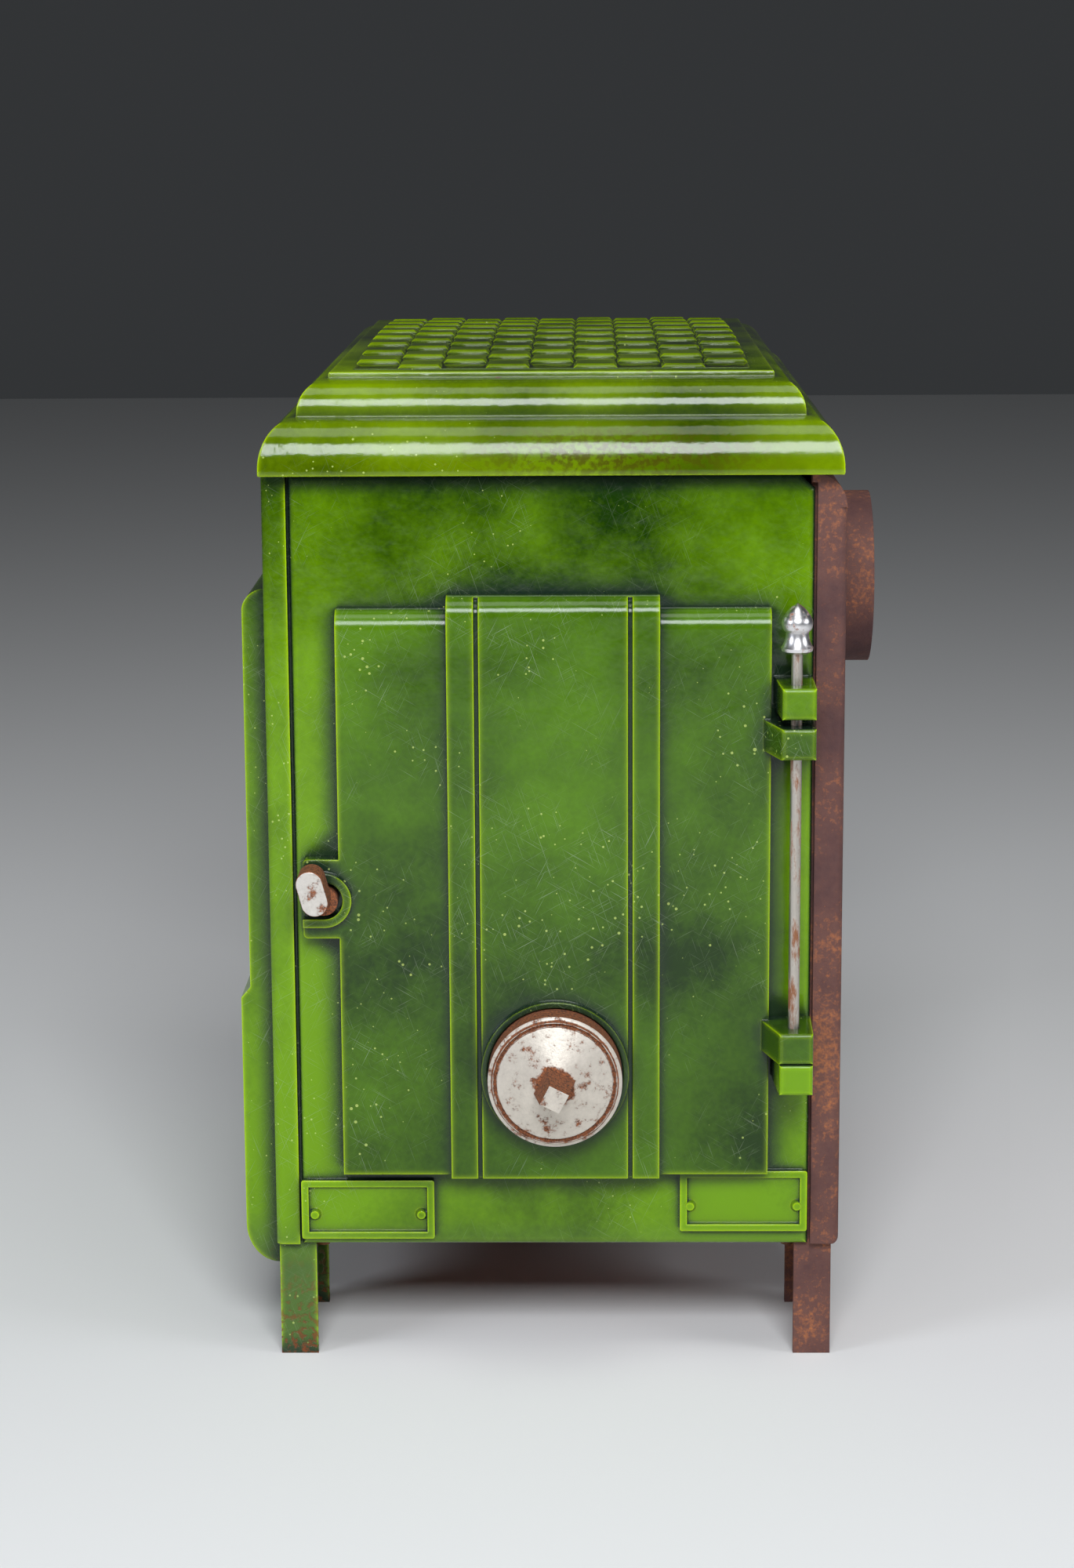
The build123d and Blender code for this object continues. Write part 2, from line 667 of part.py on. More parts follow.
# Door: hollow cast plate with rolled top edges and a raised middle strip
door_section = Plane(origin=(mid_x + door_x, face_y, 0), x_dir=(0, -1, 0), z_dir=(-1, 0, 0))
rope_mid_w = opening_w + rope_w + 6
rope_mid_h = opening_h + rope_w + 6
door_lugs = (lug_top_z - lug_space - lug_h, lug_low_z + lug_h + lug_rest)
liner_screws = [(x, z) for x in (-liner_post_x, liner_post_x)
                for z in (liner_z + liner_edge, liner_z + liner_h - liner_edge)]
guide_x = guide_out * sqrt(3) / 2
guide_z = guide_out / 2
tab_left = latch_x - tab_out

with BuildPart() as door:
    with BuildSketch(door_section) as wing:
        with Locations((door_gap, door_z)):
            Rectangle(wing_t - door_gap, door_h, align=(Align.MIN, Align.MIN))
        fillet(wing.vertices().sort_by(Axis.Y)[-2:].sort_by(Axis.X)[-1], roll_r)
    extrude(amount=door_w / 2, both=True)
    with BuildSketch(door_section) as middle:
        with Locations((door_gap, door_z - strip_down)):
            Rectangle(strip_t - door_gap, door_h + strip_up + strip_down, align=(Align.MIN, Align.MIN))
        fillet(middle.vertices().sort_by(Axis.Y)[-2:].sort_by(Axis.X)[-1], roll_r)
    extrude(amount=strip_w / 2, both=True)
    # two upright grooves, which follow the rolled top
    for x in (-groove_x, groove_x):
        groove_plane = door_section.offset(-x - groove_w / 2)
        roll = (strip_t - roll_r, door_z + door_h + strip_up - roll_r)
        with BuildSketch(groove_plane):
            with BuildLine():
                outer = CenterArc(roll, roll_r + 1, 0, groove_wrap)
                inner = CenterArc(roll, roll_r - groove_cut, 0, groove_wrap)
                Line(outer @ 1, inner @ 1)
                Polyline(outer @ 0, (strip_t + 1, door_z - strip_down),
                         (strip_t - groove_cut, door_z - strip_down), inner @ 0)
            make_face()
        extrude(amount=groove_w, mode=Mode.SUBTRACT)
    # latch tab with its raised horseshoe rim
    with BuildSketch(front.offset(door_gap)) as tab:
        with Locations((tab_left, latch_z)):
            Rectangle(tab_l, tab_h, align=(Align.MIN, Align.CENTER))
        fillet(tab.vertices().sort_by(Axis.X)[:2], 3)
    extrude(amount=wing_t - door_gap)
    with BuildSketch(front.offset(wing_t)):
        with Locations((latch_x, latch_z)):
            Circle(rim_r)
            Rectangle(2 * rim_r, 2 * rim_r, align=(Align.MAX, Align.CENTER), mode=Mode.SUBTRACT)
            Rectangle(tab_out, 2 * rim_r, align=(Align.MAX, Align.CENTER))
    extrude(amount=rim_h)
    with BuildSketch(front.offset(wing_t + rim_h)):
        with Locations((latch_x, latch_z)):
            Circle(notch_r)
            Rectangle(tab_out, 2 * notch_r, align=(Align.MAX, Align.CENTER))
    extrude(amount=-rim_h - tab_floor, mode=Mode.SUBTRACT)
    # hinge lugs
    for z in door_lugs:
        lug(z, end_w / 2 - lug_base_w - 10, end_w / 2 - 0.2, door_lug_back)
        soften_lug(door, z)
        rod_hole(z + lug_h, lug_h)
    # seat ring of the air valve
    with BuildSketch(front.offset(strip_t)):
        with Locations((valve_x, valve_z)):
            Circle(ring_r)
            Circle(ring_in, mode=Mode.SUBTRACT)
    extrude(amount=ring_h)
    # hollow back, rope channel, hub of the air valve and posts of the liner
    with BuildSketch(front.offset(door_gap)):
        with Locations((0, opening_z + opening_h / 2)):
            RectangleRounded(opening_w, opening_h, opening_round)
    extrude(amount=wing_t - pocket_wall - door_gap, mode=Mode.SUBTRACT)
    with BuildSketch(front.offset(door_gap)):
        with Locations((0, opening_z + opening_h / 2)):
            RectangleRounded(rope_mid_w + rope_w, rope_mid_h + rope_w, opening_round + rope_w)
            RectangleRounded(rope_mid_w - rope_w, rope_mid_h - rope_w, opening_round, mode=Mode.SUBTRACT)
    extrude(amount=rope_d, mode=Mode.SUBTRACT)
    with BuildSketch(front.offset(wing_t - pocket_wall + 1)):
        with Locations((valve_x, valve_z)):
            Circle(hub_r)
        with Locations((valve_x + guide_x, valve_z + guide_z)):
            Circle(hub_r / 3)
    extrude(amount=pocket_wall - wing_t - 1 - hub_in)
    with BuildSketch(front.offset(wing_t - pocket_wall + 1)):
        with Locations(*liner_screws):
            Circle(liner_post_r)
    extrude(amount=pocket_wall - wing_t - 1 - liner_in)
    # bores
    with BuildSketch(front.offset(wing_t - pocket_wall)):
        with Locations(*liner_screws):
            Circle(screw_r)
    extrude(amount=pocket_wall - wing_t - liner_in, mode=Mode.SUBTRACT)
    with BuildSketch(front.offset(wing_t - pocket_wall)):
        with Locations((valve_x + guide_x, valve_z + guide_z)):
            Circle(guide_r)
    extrude(amount=pocket_wall - wing_t - hub_in, mode=Mode.SUBTRACT)
    with BuildSketch(front.offset(strip_t)):
        with Locations((valve_x, valve_z)):
            Circle(spindle_r + running)
            with PolarLocations(air_ring_r, 6):
                Circle(air_hole_r)
    extrude(amount=-strip_t - hub_in, mode=Mode.SUBTRACT)
    with BuildSketch(front.offset(wing_t)):
        with Locations((latch_x, latch_z)):
            Circle(latch_r + running)
    extrude(amount=-wing_t, mode=Mode.SUBTRACT)
keep(door, "door")


with BuildPart() as door_rope:
    with BuildSketch(front.offset(touch)):
        with Locations((0, opening_z + opening_h / 2)):
            RectangleRounded(rope_mid_w + rope_w, rope_mid_h + rope_w, opening_round + rope_w)
            RectangleRounded(rope_mid_w - rope_w, rope_mid_h - rope_w, opening_round, mode=Mode.SUBTRACT)
    extrude(amount=door_gap + rope_d - touch)
keep(door_rope, "door_rope")


with BuildPart() as door_liner:
    with BuildSketch(front.offset(-liner_in)):
        with Locations((0, liner_z + liner_h / 2)):
            RectangleRounded(liner_w, liner_h, liner_post_r)
        with Locations(*liner_screws):
            Circle(screw_r + running, mode=Mode.SUBTRACT)
    extrude(amount=-liner_t)
keep(door_liner, "door_liner")


with BuildPart() as door_liner_screws:
    with BuildSketch(front.offset(-liner_in - liner_t)):
        with Locations(*liner_screws):
            Circle(2 * screw_r)
    extrude(amount=-screw_r)
    with BuildSketch(front.offset(-liner_in - liner_t)):
        with Locations(*liner_screws):
            Circle(screw_r)
    extrude(amount=liner_t + liner_in + door_gap)
keep(door_liner_screws, "door_liner_screws")


# Latch: obround handle, its spindle, a tongue behind the end panel and a nut
handle_back = wing_t + rim_h + handle_gap
tongue_y = wall + tongue_gap
with BuildPart() as latch_handle:
    with BuildSketch(front.offset(handle_back)):
        with Locations((latch_x + handle_dx, latch_z + handle_dz)):
            SlotOverall(handle_h, handle_w, rotation=90 + latch_tilt)
    extrude(amount=handle_l)
    fillet(latch_handle.faces().sort_by(Axis.Y)[0].edges(), 1)
    with BuildSketch(front.offset(wing_t - tab_floor + touch)):
        with Locations((latch_x, latch_z)):
            Circle(notch_r - 3)
    extrude(amount=handle_back - wing_t + tab_floor - touch)
    with BuildSketch(front.offset(handle_back)):
        with Locations((latch_x, latch_z)):
            Circle(latch_r)
    extrude(amount=-handle_back - tongue_y)
    with BuildSketch(front.offset(-tongue_y)):
        with Locations((latch_x, latch_z)):
            Circle(latch_thread)
    extrude(amount=-tongue_t - latch_nut_h - 2)
keep(latch_handle, "latch_handle")


with BuildPart() as latch_tongue:
    with BuildSketch(front.offset(-tongue_y)):
        with Locations((latch_x, latch_z)):
            SlotOverall(tongue_l, tongue_w, rotation=90 + latch_tilt)
            Circle(latch_thread, mode=Mode.SUBTRACT)
    extrude(amount=-tongue_t)
keep(latch_tongue, "latch_tongue")


with BuildPart() as latch_nut:
    with BuildSketch(front.offset(-tongue_y - tongue_t)):
        with Locations((latch_x, latch_z)):
            RegularPolygon(latch_nut_af / 2, 6, major_radius=False)
            Circle(latch_thread, mode=Mode.SUBTRACT)
    extrude(amount=-latch_nut_h)
keep(latch_nut, "latch_nut")


# Air valve: a screwed disc that closes the seat ring, with a square stub to turn it by
disc_back = strip_t + seat_gap
disc_face = disc_back + disc_t
cone_top = disc_face + cone_h
bolt_end = disc_back + disc_t - disc_wall
with BuildPart() as air_valve_disc:
    with BuildSketch(valve_plane):
        with BuildLine():
            Polyline((spindle_r, disc_back), (hub_r - 3, disc_back), (hub_r - 3, disc_face - disc_wall),
                     (disc_r - disc_wall, disc_face - disc_wall), (disc_r - disc_wall, disc_back),
                     (disc_r, disc_back), (disc_r, disc_face - 3))
            lip = RadiusArc((disc_r, disc_face - 3), (disc_r - 3, disc_face), 3)
            Polyline(lip @ 1, (disc_r - 3.5, disc_face), (disc_r - 3.5, disc_face - 1.5),
                     (disc_r - 6, disc_face - 1.5), (disc_r - 6, disc_face),
                     (stub_base / 2, cone_top), (0, cone_top), (0, bolt_end), (spindle_r, bolt_end),
                     (spindle_r, disc_back))
        make_face()
    revolve(axis=valve_axis)
    with BuildSketch(front.offset(disc_face + 2)) as foot:
        with Locations((valve_x, valve_z)):
            Rectangle(stub_base + 1, stub_base + 1, rotation=stub_turn)
    with BuildSketch(front.offset(cone_top + stub_l)) as tip:
        with Locations((valve_x, valve_z)):
            Rectangle(stub_tip, stub_tip, rotation=stub_turn)
    loft([foot.sketch, tip.sketch])
keep(air_valve_disc, "air_valve_disc")


nut_face = hub_in + valve_travel + touch + washer_t + touch
with BuildPart() as air_valve_spindle:
    with BuildSketch(front.offset(bolt_end)):
        with Locations((valve_x, valve_z)):
            Circle(spindle_r)
    extrude(amount=-bolt_end - nut_face - stop_nut_h - 1)
keep(air_valve_spindle, "air_valve_spindle")


with BuildPart() as air_valve_stop_nut:
    with BuildSketch(front.offset(-nut_face)):
        with Locations((valve_x, valve_z)):
            RegularPolygon(stop_nut_af / 2, 6, major_radius=False)
            Circle(spindle_r, mode=Mode.SUBTRACT)
    extrude(amount=-stop_nut_h)
keep(air_valve_stop_nut, "air_valve_stop_nut")


with BuildPart() as air_valve_tab_washer:
    with BuildSketch(front.offset(-nut_face + touch)):
        with Locations((valve_x, valve_z)):
            Circle(2 * spindle_r)
        with Locations((valve_x + guide_x, valve_z + guide_z)):
            Circle(2.5 * guide_r)
        with Locations((valve_x + guide_x / 2, valve_z + guide_z / 2)):
            Rectangle(guide_out, 5 * guide_r, rotation=30)
        with Locations((valve_x, valve_z)):
            Circle(spindle_r + running, mode=Mode.SUBTRACT)
        with Locations((valve_x + guide_x, valve_z + guide_z)):
            Circle(guide_r + running, mode=Mode.SUBTRACT)
    extrude(amount=washer_t)
keep(air_valve_tab_washer, "air_valve_tab_washer")


with BuildPart() as air_valve_guide_pin:
    with BuildSketch(front.offset(wing_t - pocket_wall)):
        with Locations((valve_x + guide_x, valve_z + guide_z)):
            Circle(guide_r)
    extrude(amount=pocket_wall - wing_t - nut_face - 2)
keep(air_valve_guide_pin, "air_valve_guide_pin")


# Loose hinge rod, dropped through the lugs, with its turned finial
rod_low = lug_low_z + rod_foot + touch
with BuildPart() as hinge_rod:
    with Locations((mid_x + rod_x, face_y - rod_out, rod_low)):
        Cylinder(rod_r, finial_z + tenon - rod_low, align=(Align.CENTER, Align.CENTER, Align.MIN))
keep(hinge_rod, "hinge_rod")


with BuildPart() as hinge_finial:
    with BuildSketch(Plane(origin=(mid_x + rod_x, face_y - rod_out, finial_z), x_dir=(1, 0, 0), z_dir=(0, -1, 0))):
        with BuildLine():
            Polyline((0, tenon), (rod_r, tenon), (rod_r, 0), (7, 0), (9.6, 1.4), (10, 3.4))
            waist = ThreePointArc((10, 3.4), (7.9, 7.6), (7, 12.8))
            Line(waist @ 1, (8.8, 14.8))
            bulb = ThreePointArc((8.8, 14.8), (9.6, 18.6), (7.6, 23.8))
            ogive = ThreePointArc(bulb @ 1, (4.7, 27.6), (1, 30.4))
            Polyline(ogive @ 1, (0, 31), (0, tenon))
        make_face()
    revolve(axis=Axis((mid_x + rod_x, face_y - rod_out, 0), (0, 0, 1)))
keep(hinge_finial, "hinge_finial")
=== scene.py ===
# %% [markdown]
# # An enamelled cast-iron wood stove
# A stove like this is bolted together from separate castings: two sides, two ends, a stepped
# top and a door. Most of its surface is vitreous enamel, which is coloured glass melted onto
# iron, so the work here is mainly in the finishes. The solid pieces come from the CAD model,
# already in place and in metres. They get better materials, and the pieces whose curves the
# CAD leaves faceted or plain are made again here in the same place.

# %% The CAD frame
import bpy
import bmesh
from math import cos, pi, radians, sin
from mathutils import Matrix, Vector


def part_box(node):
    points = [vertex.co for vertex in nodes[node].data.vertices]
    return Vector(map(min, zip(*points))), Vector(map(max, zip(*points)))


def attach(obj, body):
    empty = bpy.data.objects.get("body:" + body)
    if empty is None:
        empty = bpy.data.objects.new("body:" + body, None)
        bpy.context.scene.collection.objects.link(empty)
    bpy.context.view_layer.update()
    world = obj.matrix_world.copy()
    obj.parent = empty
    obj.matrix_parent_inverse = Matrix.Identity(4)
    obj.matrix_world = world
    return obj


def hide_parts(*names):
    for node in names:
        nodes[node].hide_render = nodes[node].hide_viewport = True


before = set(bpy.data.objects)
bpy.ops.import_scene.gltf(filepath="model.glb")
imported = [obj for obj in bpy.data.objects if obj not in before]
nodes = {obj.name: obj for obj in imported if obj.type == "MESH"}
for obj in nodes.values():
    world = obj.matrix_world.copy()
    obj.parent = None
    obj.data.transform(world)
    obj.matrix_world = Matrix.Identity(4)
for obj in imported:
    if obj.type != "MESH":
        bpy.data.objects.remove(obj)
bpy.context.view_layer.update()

# %% [markdown]
# The stove's own measures, in metres. Everything below is placed from these few numbers and
# from the boxes of the CAD nodes. They are the sizes of the castings, so a new piece lands
# exactly where the CAD piece is.

# %% Sizes of the castings
mm = 0.001
low, high = (Vector(corner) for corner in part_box("top_cover"))
lid_mid = (low + high) / 2
lid_mid.z = low.z
half_w = (high.x - low.x) / 2
half_l = (high.y - low.y) / 2
lid_over = 15 * mm                                   # the top overhangs the door end by this much
face_y = low.y + lid_over
mid_x = lid_mid.x
valve_axis = (mid_x + 1 * mm, 198.7 * mm)            # x and z of the air valve
square = 27.7 * mm
columns, rows = 9, 17
print("lid", round(half_w * 2, 4), "by", round(half_l * 2, 4), "at", [round(v, 4) for v in lid_mid])

# %% [markdown]
# Two helpers. Colours are written as sRGB hex, the way a colour picker shows them, but shaders
# calculate in linear light, so one function converts them. The second adds any shader node
# with its settings and its links in one line, which keeps the materials short enough to read.

# %% Helpers for colours and nodes
def colour(code):
    """sRGB hex text to a linear colour."""
    parts = [int(code[i:i + 2], 16) / 255 for i in (1, 3, 5)]
    return [c / 12.92 if c <= 0.04045 else ((c + 0.055) / 1.055) ** 2.4 for c in parts] + [1.0]


def add(tree, kind, inputs=None, **settings):
    """Add a node, set its properties, and set or link its inputs."""
    made = tree.nodes.new(kind)
    for name, value in settings.items():
        setattr(made, name, value)
    for key, value in (inputs or {}).items():
        if isinstance(value, bpy.types.NodeSocket):
            tree.links.new(value, made.inputs[key])
        else:
            made.inputs[key].default_value = value
    return made


def new_material(name):
    """An empty material with its node tree and its shader."""
    made = bpy.data.materials.new(name)
    made.use_nodes = True
    tree = made.node_tree
    tree.nodes.clear()
    shader = add(tree, "ShaderNodeBsdfPrincipled")
    add(tree, "ShaderNodeOutputMaterial", {"Surface": shader.outputs[0]})
    return made, tree, shader


print("white is", colour("#FFFFFF")[:3])

# %% [markdown]
# ## Vitreous enamel
# Real enamel is a layer of coloured glass about 0.3 mm thick. It pulls thin over every sharp
# edge, where it turns yellow-green. The glass
# is smooth but not flat: it has an orange-peel ripple a few millimetres wide over the slower
# waves of the casting. One way to find edges is to paint a mask. The Bevel node does it without
# painting: it gives a normal rounded over a few millimetres, and where that differs from the
# true normal there is an edge. The same rounded normal makes hard CAD edges catch the light.
# The reverse, how much a step shades its surroundings, paints a dark shade beside every step.

# %% Enamel
def make_enamel(name, deep, mid, thin, gloss, seed, scratched, run, spread, dusty=0.15, stain=None):
    """Mottled green glass over iron, thin at the edges, with chips down to rust."""
    made, tree, shader = new_material(name)
    place = add(tree, "ShaderNodeTexCoord").outputs["Object"]
    spot = add(tree, "ShaderNodeMapping", {"Vector": place,
                                           "Location": (seed, seed * 0.7, seed * 0.3)}).outputs[0]
    # clouds 110 mm wide, where the glass was thicker or thinner, and 25 mm ones inside them
    clouds = add(tree, "ShaderNodeTexNoise", {"Vector": spot, "Scale": 8.0, "Detail": 4.0, "Roughness": 0.55})
    # mottle 4 mm wide, from the sprayed powder
    mottle = add(tree, "ShaderNodeTexNoise", {"Vector": spot, "Scale": 260.0, "Detail": 3.0,
                                              "Roughness": 0.6})
    fine = add(tree, "ShaderNodeMath", {0: mottle.outputs[0], 1: 0.16, 2: clouds.outputs[0]},
               operation="MULTIPLY_ADD")
    # the green follows the place on the casting: run makes it deeper upwards, and spread
    # makes it deeper in the middle of a casting
    at = add(tree, "ShaderNodeSeparateXYZ", {0: place})
    level = add(tree, "ShaderNodeMath", {0: at.outputs["Z"], 1: 330 * mm}, operation="SUBTRACT")
    sunk = add(tree, "ShaderNodeMath", {0: level.outputs[0], 1: -run, 2: fine.outputs[0]},
               operation="MULTIPLY_ADD")
    aside = add(tree, "ShaderNodeMath", {0: at.outputs["X"]}, operation="ABSOLUTE")
    # past the corner, on the decorated side, it is deeper again
    round_corner = add(tree, "ShaderNodeMath", {0: aside.outputs[0], 1: -2.2, 2: 0.5},
                       operation="MULTIPLY_ADD")
    aside = add(tree, "ShaderNodeMath", {0: aside.outputs[0], 1: round_corner.outputs[0]},
                operation="MINIMUM")
    sunk = add(tree, "ShaderNodeMath", {0: aside.outputs[0], 1: spread, 2: sunk.outputs[0]},
               operation="MULTIPLY_ADD")
    depth = add(tree, "ShaderNodeMapRange", {"Value": sunk.outputs[0], "From Min": 0.41 + 0.04 * spread,
                                              "From Max": 0.77 + 0.08 * spread})
    base = add(tree, "ShaderNodeMix", {0: depth.outputs[0], 6: colour(deep), 7: colour(mid)},
               data_type="RGBA")
    # the legs had a thin grey-green coat only
    leg = add(tree, "ShaderNodeMapRange", {"Value": at.outputs["Z"], "From Min": 95 * mm, "From Max": 60 * mm,
                                            "To Max": 0.7})
    base = add(tree, "ShaderNodeMix", {0: leg.outputs[0], 6: base.outputs[2], 7: colour("#3A4A34")},
               data_type="RGBA")
    # the glaze pulls thin at an edge: a bright line 1.6 mm wide inside a softer 6 mm one
    true = add(tree, "ShaderNodeNewGeometry").outputs["Normal"]
    wide = add(tree, "ShaderNodeBevel", {"Radius": 6.0 * mm}, samples=6).outputs[0]
    apart = add(tree, "ShaderNodeVectorMath", {0: wide, 1: true}, operation="DOT_PRODUCT").outputs["Value"]
    soft = add(tree, "ShaderNodeMapRange", {"Value": apart, "From Min": 0.999, "From Max": 0.80})
    close = add(tree, "ShaderNodeBevel", {"Radius": 1.6 * mm}, samples=6).outputs[0]
    apart = add(tree, "ShaderNodeVectorMath", {0: close, 1: true}, operation="DOT_PRODUCT").outputs["Value"]
    line = add(tree, "ShaderNodeMapRange", {"Value": apart, "From Min": 0.998, "From Max": 0.88})
    # an inner corner has a rounded normal too, so the glaze is kept there by its shade
    open_to = add(tree, "ShaderNodeAmbientOcclusion", {"Distance": 7.0 * mm}, samples=6).outputs["AO"]
    convex = add(tree, "ShaderNodeMapRange", {"Value": open_to, "From Min": 0.74, "From Max": 0.92})
    edge = add(tree, "ShaderNodeMath", {0: soft.outputs[0], 1: 0.35, 2: line.outputs[0]},
               operation="MULTIPLY_ADD")
    edge = add(tree, "ShaderNodeMath", {0: edge.outputs[0], 1: convex.outputs[0]}, operation="MULTIPLY",
               use_clamp=True)
    glaze = add(tree, "ShaderNodeMix", {0: edge.outputs[0], 6: base.outputs[2], 7: colour(thin)},
                data_type="RGBA")
    # painted shade: a blue-black band as wide as a finger nail beside every step, darkest where the step hides
    # the most
    step_occlusion = add(tree, "ShaderNodeAmbientOcclusion", {"Distance": 18.0 * mm}, samples=6).outputs["AO"]
    painted_step_shade = add(tree, "ShaderNodeMapRange", {"Value": step_occlusion, "From Min": 0.88, "From Max": 0.66,
                                            "To Max": 0.95})
    glaze = add(tree, "ShaderNodeMix", {0: painted_step_shade.outputs[0], 6: glaze.outputs[2], 7: colour("#1A2A22")},
                data_type="RGBA")
    # pale pinholes and dust under a millimetre wide, drawn at about 1 mm so that they show
    dust = add(tree, "ShaderNodeTexVoronoi", {"Vector": spot, "Scale": 170.0, "Randomness": 1.0})
    rare = add(tree, "ShaderNodeTexNoise", {"Vector": spot, "Scale": 13.0, "Detail": 3.0})
    reach = add(tree, "ShaderNodeMapRange", {"Value": rare.outputs[0], "From Min": 0.42, "From Max": 0.72,
                                              "To Min": 0.0, "To Max": dusty})
    speck = add(tree, "ShaderNodeMath", {0: dust.outputs["Distance"], 1: reach.outputs[0]},
                operation="LESS_THAN")
    speck = add(tree, "ShaderNodeMath", {0: speck.outputs[0], 1: 0.6}, operation="MULTIPLY")
    glaze = add(tree, "ShaderNodeMix", {0: speck.outputs[0], 6: glaze.outputs[2], 7: colour("#B9C96A")},
                data_type="RGBA")
    if stain:
        # a brown burn stain, long and flat, on the rim over the door
        off = add(tree, "ShaderNodeVectorMath", {0: place, 1: stain}, operation="SUBTRACT")
        off = add(tree, "ShaderNodeVectorMath", {0: off.outputs[0], 1: (1.0, 0.5, 6.0)}, operation="MULTIPLY")
        off = add(tree, "ShaderNodeVectorMath", {0: off.outputs[0]}, operation="LENGTH")
        near_stain = add(tree, "ShaderNodeMapRange", {"Value": off.outputs["Value"], "From Min": 130 * mm,
                                                      "From Max": 30 * mm})
        smear = add(tree, "ShaderNodeMapRange", {"Value": mottle.outputs[0], "From Min": 0.42,
                                                 "From Max": 0.58,
                                                 "To Max": 0.75})
        smear = add(tree, "ShaderNodeMath", {0: smear.outputs[0], 1: near_stain.outputs[0]},
                    operation="MULTIPLY")
        glaze = add(tree, "ShaderNodeMix", {0: smear.outputs[0], 6: glaze.outputs[2], 7: colour("#40300A")},
                    data_type="RGBA")
    # hair scratches in four directions: the place is turned, then squeezed, so a noise becomes lines
    marks = None
    for turn in (0.5, 1.1, 1.9, 2.6):
        turned = add(tree, "ShaderNodeMapping", {"Vector": spot, "Rotation": (0, turn, 0)})
        drawn = add(tree, "ShaderNodeMapping", {"Vector": turned.outputs[0], "Scale": (34, 34, 2300)})
        hair = add(tree, "ShaderNodeTexNoise", {"Vector": drawn.outputs[0], "Scale": 1.0, "Detail": 1.0})
        thread = add(tree, "ShaderNodeMapRange", {"Value": hair.outputs[0], "From Min": 0.68,
                                                  "From Max": 0.80})
        marks = thread.outputs[0] if marks is None else add(
            tree, "ShaderNodeMath", {0: marks, 1: thread.outputs[0]}, operation="MAXIMUM").outputs[0]
    where = add(tree, "ShaderNodeMapRange", {"Value": rare.outputs[0], "From Min": 0.40, "From Max": 0.60})
    marks = add(tree, "ShaderNodeMath", {0: marks, 1: where.outputs[0]}, operation="MULTIPLY").outputs[0]
    marks = add(tree, "ShaderNodeMath", {0: marks, 1: scratched}, operation="MULTIPLY").outputs[0]
    glaze = add(tree, "ShaderNodeMix", {0: marks, 6: glaze.outputs[2], 7: colour("#A9B59A")},
                data_type="RGBA")
    # chips: only on edges, and only where a coarse noise allows them
    chance = add(tree, "ShaderNodeTexNoise", {"Vector": spot, "Scale": 42.0, "Detail": 6.0,
                                              "Roughness": 0.75})
    chance = add(tree, "ShaderNodeMapRange", {"Value": chance.outputs[0], "From Min": 0.665,
                                              "From Max": 0.685})
    chip = add(tree, "ShaderNodeMath", {0: chance.outputs[0], 1: line.outputs[0]}, operation="MULTIPLY")
    chip = add(tree, "ShaderNodeMapRange", {"Value": chip.outputs[0], "From Min": 0.25, "From Max": 0.4})
    # and on the feet, which boots and brooms have scuffed
    scuffed = add(tree, "ShaderNodeMapRange", {"Value": at.outputs["Z"], "From Min": 70 * mm,
                                               "From Max": 0.0})
    bare = add(tree, "ShaderNodeMapRange", {"Value": mottle.outputs[0], "From Min": 0.50, "From Max": 0.60})
    scuffed = add(tree, "ShaderNodeMath", {0: scuffed.outputs[0], 1: bare.outputs[0]}, operation="MULTIPLY")
    chip = add(tree, "ShaderNodeMath", {0: chip.outputs[0], 1: scuffed.outputs[0]}, operation="MAXIMUM")
    rust = add(tree, "ShaderNodeMix", {0: mottle.outputs[0], 6: colour("#3B241A"), 7: colour("#8A4A22")},
               data_type="RGBA")
    final = add(tree, "ShaderNodeMix", {0: chip.outputs[0], 6: glaze.outputs[2], 7: rust.outputs[2]},
                data_type="RGBA")
    tree.links.new(final.outputs[2], shader.inputs["Base Color"])
    # roughness: glossy glass, hazed in clouds and dull at the chips
    haze = add(tree, "ShaderNodeMapRange", {"Value": clouds.outputs[0], "From Min": 0.35, "From Max": 0.7,
                                             "To Min": gloss, "To Max": gloss + 0.10})
    rough = add(tree, "ShaderNodeMix", {0: chip.outputs[0], 2: haze.outputs[0], 3: 0.85}, data_type="FLOAT")
    tree.links.new(rough.outputs[0], shader.inputs["Roughness"])
    # relief: casting waves 15 mm wide, then orange peel 3 mm wide, then the chips' sunk floor
    waves = add(tree, "ShaderNodeTexNoise", {"Vector": spot, "Scale": 60.0, "Detail": 2.0})
    relief = add(tree, "ShaderNodeBump", {"Height": waves.outputs[0], "Distance": 0.7 * mm, "Strength": 0.5,
                                          "Normal": close})
    peel = add(tree, "ShaderNodeTexNoise", {"Vector": spot, "Scale": 330.0, "Detail": 2.0})
    relief = add(tree, "ShaderNodeBump", {"Height": peel.outputs[0], "Distance": 0.12 * mm, "Strength": 0.5,
                                          "Normal": relief.outputs[0]})
    relief = add(tree, "ShaderNodeBump", {"Height": chip.outputs[0], "Distance": 0.4 * mm, "Strength": 0.8,
                                          "Normal": relief.outputs[0]}, invert=True)
    tree.links.new(relief.outputs[0], shader.inputs["Normal"])
    # glass, with its mirror kept weak so that the pale floor doesn't veil the green
    shader.inputs["IOR"].default_value = 1.52
    shader.inputs["Specular IOR Level"].default_value = 0.3
    return made


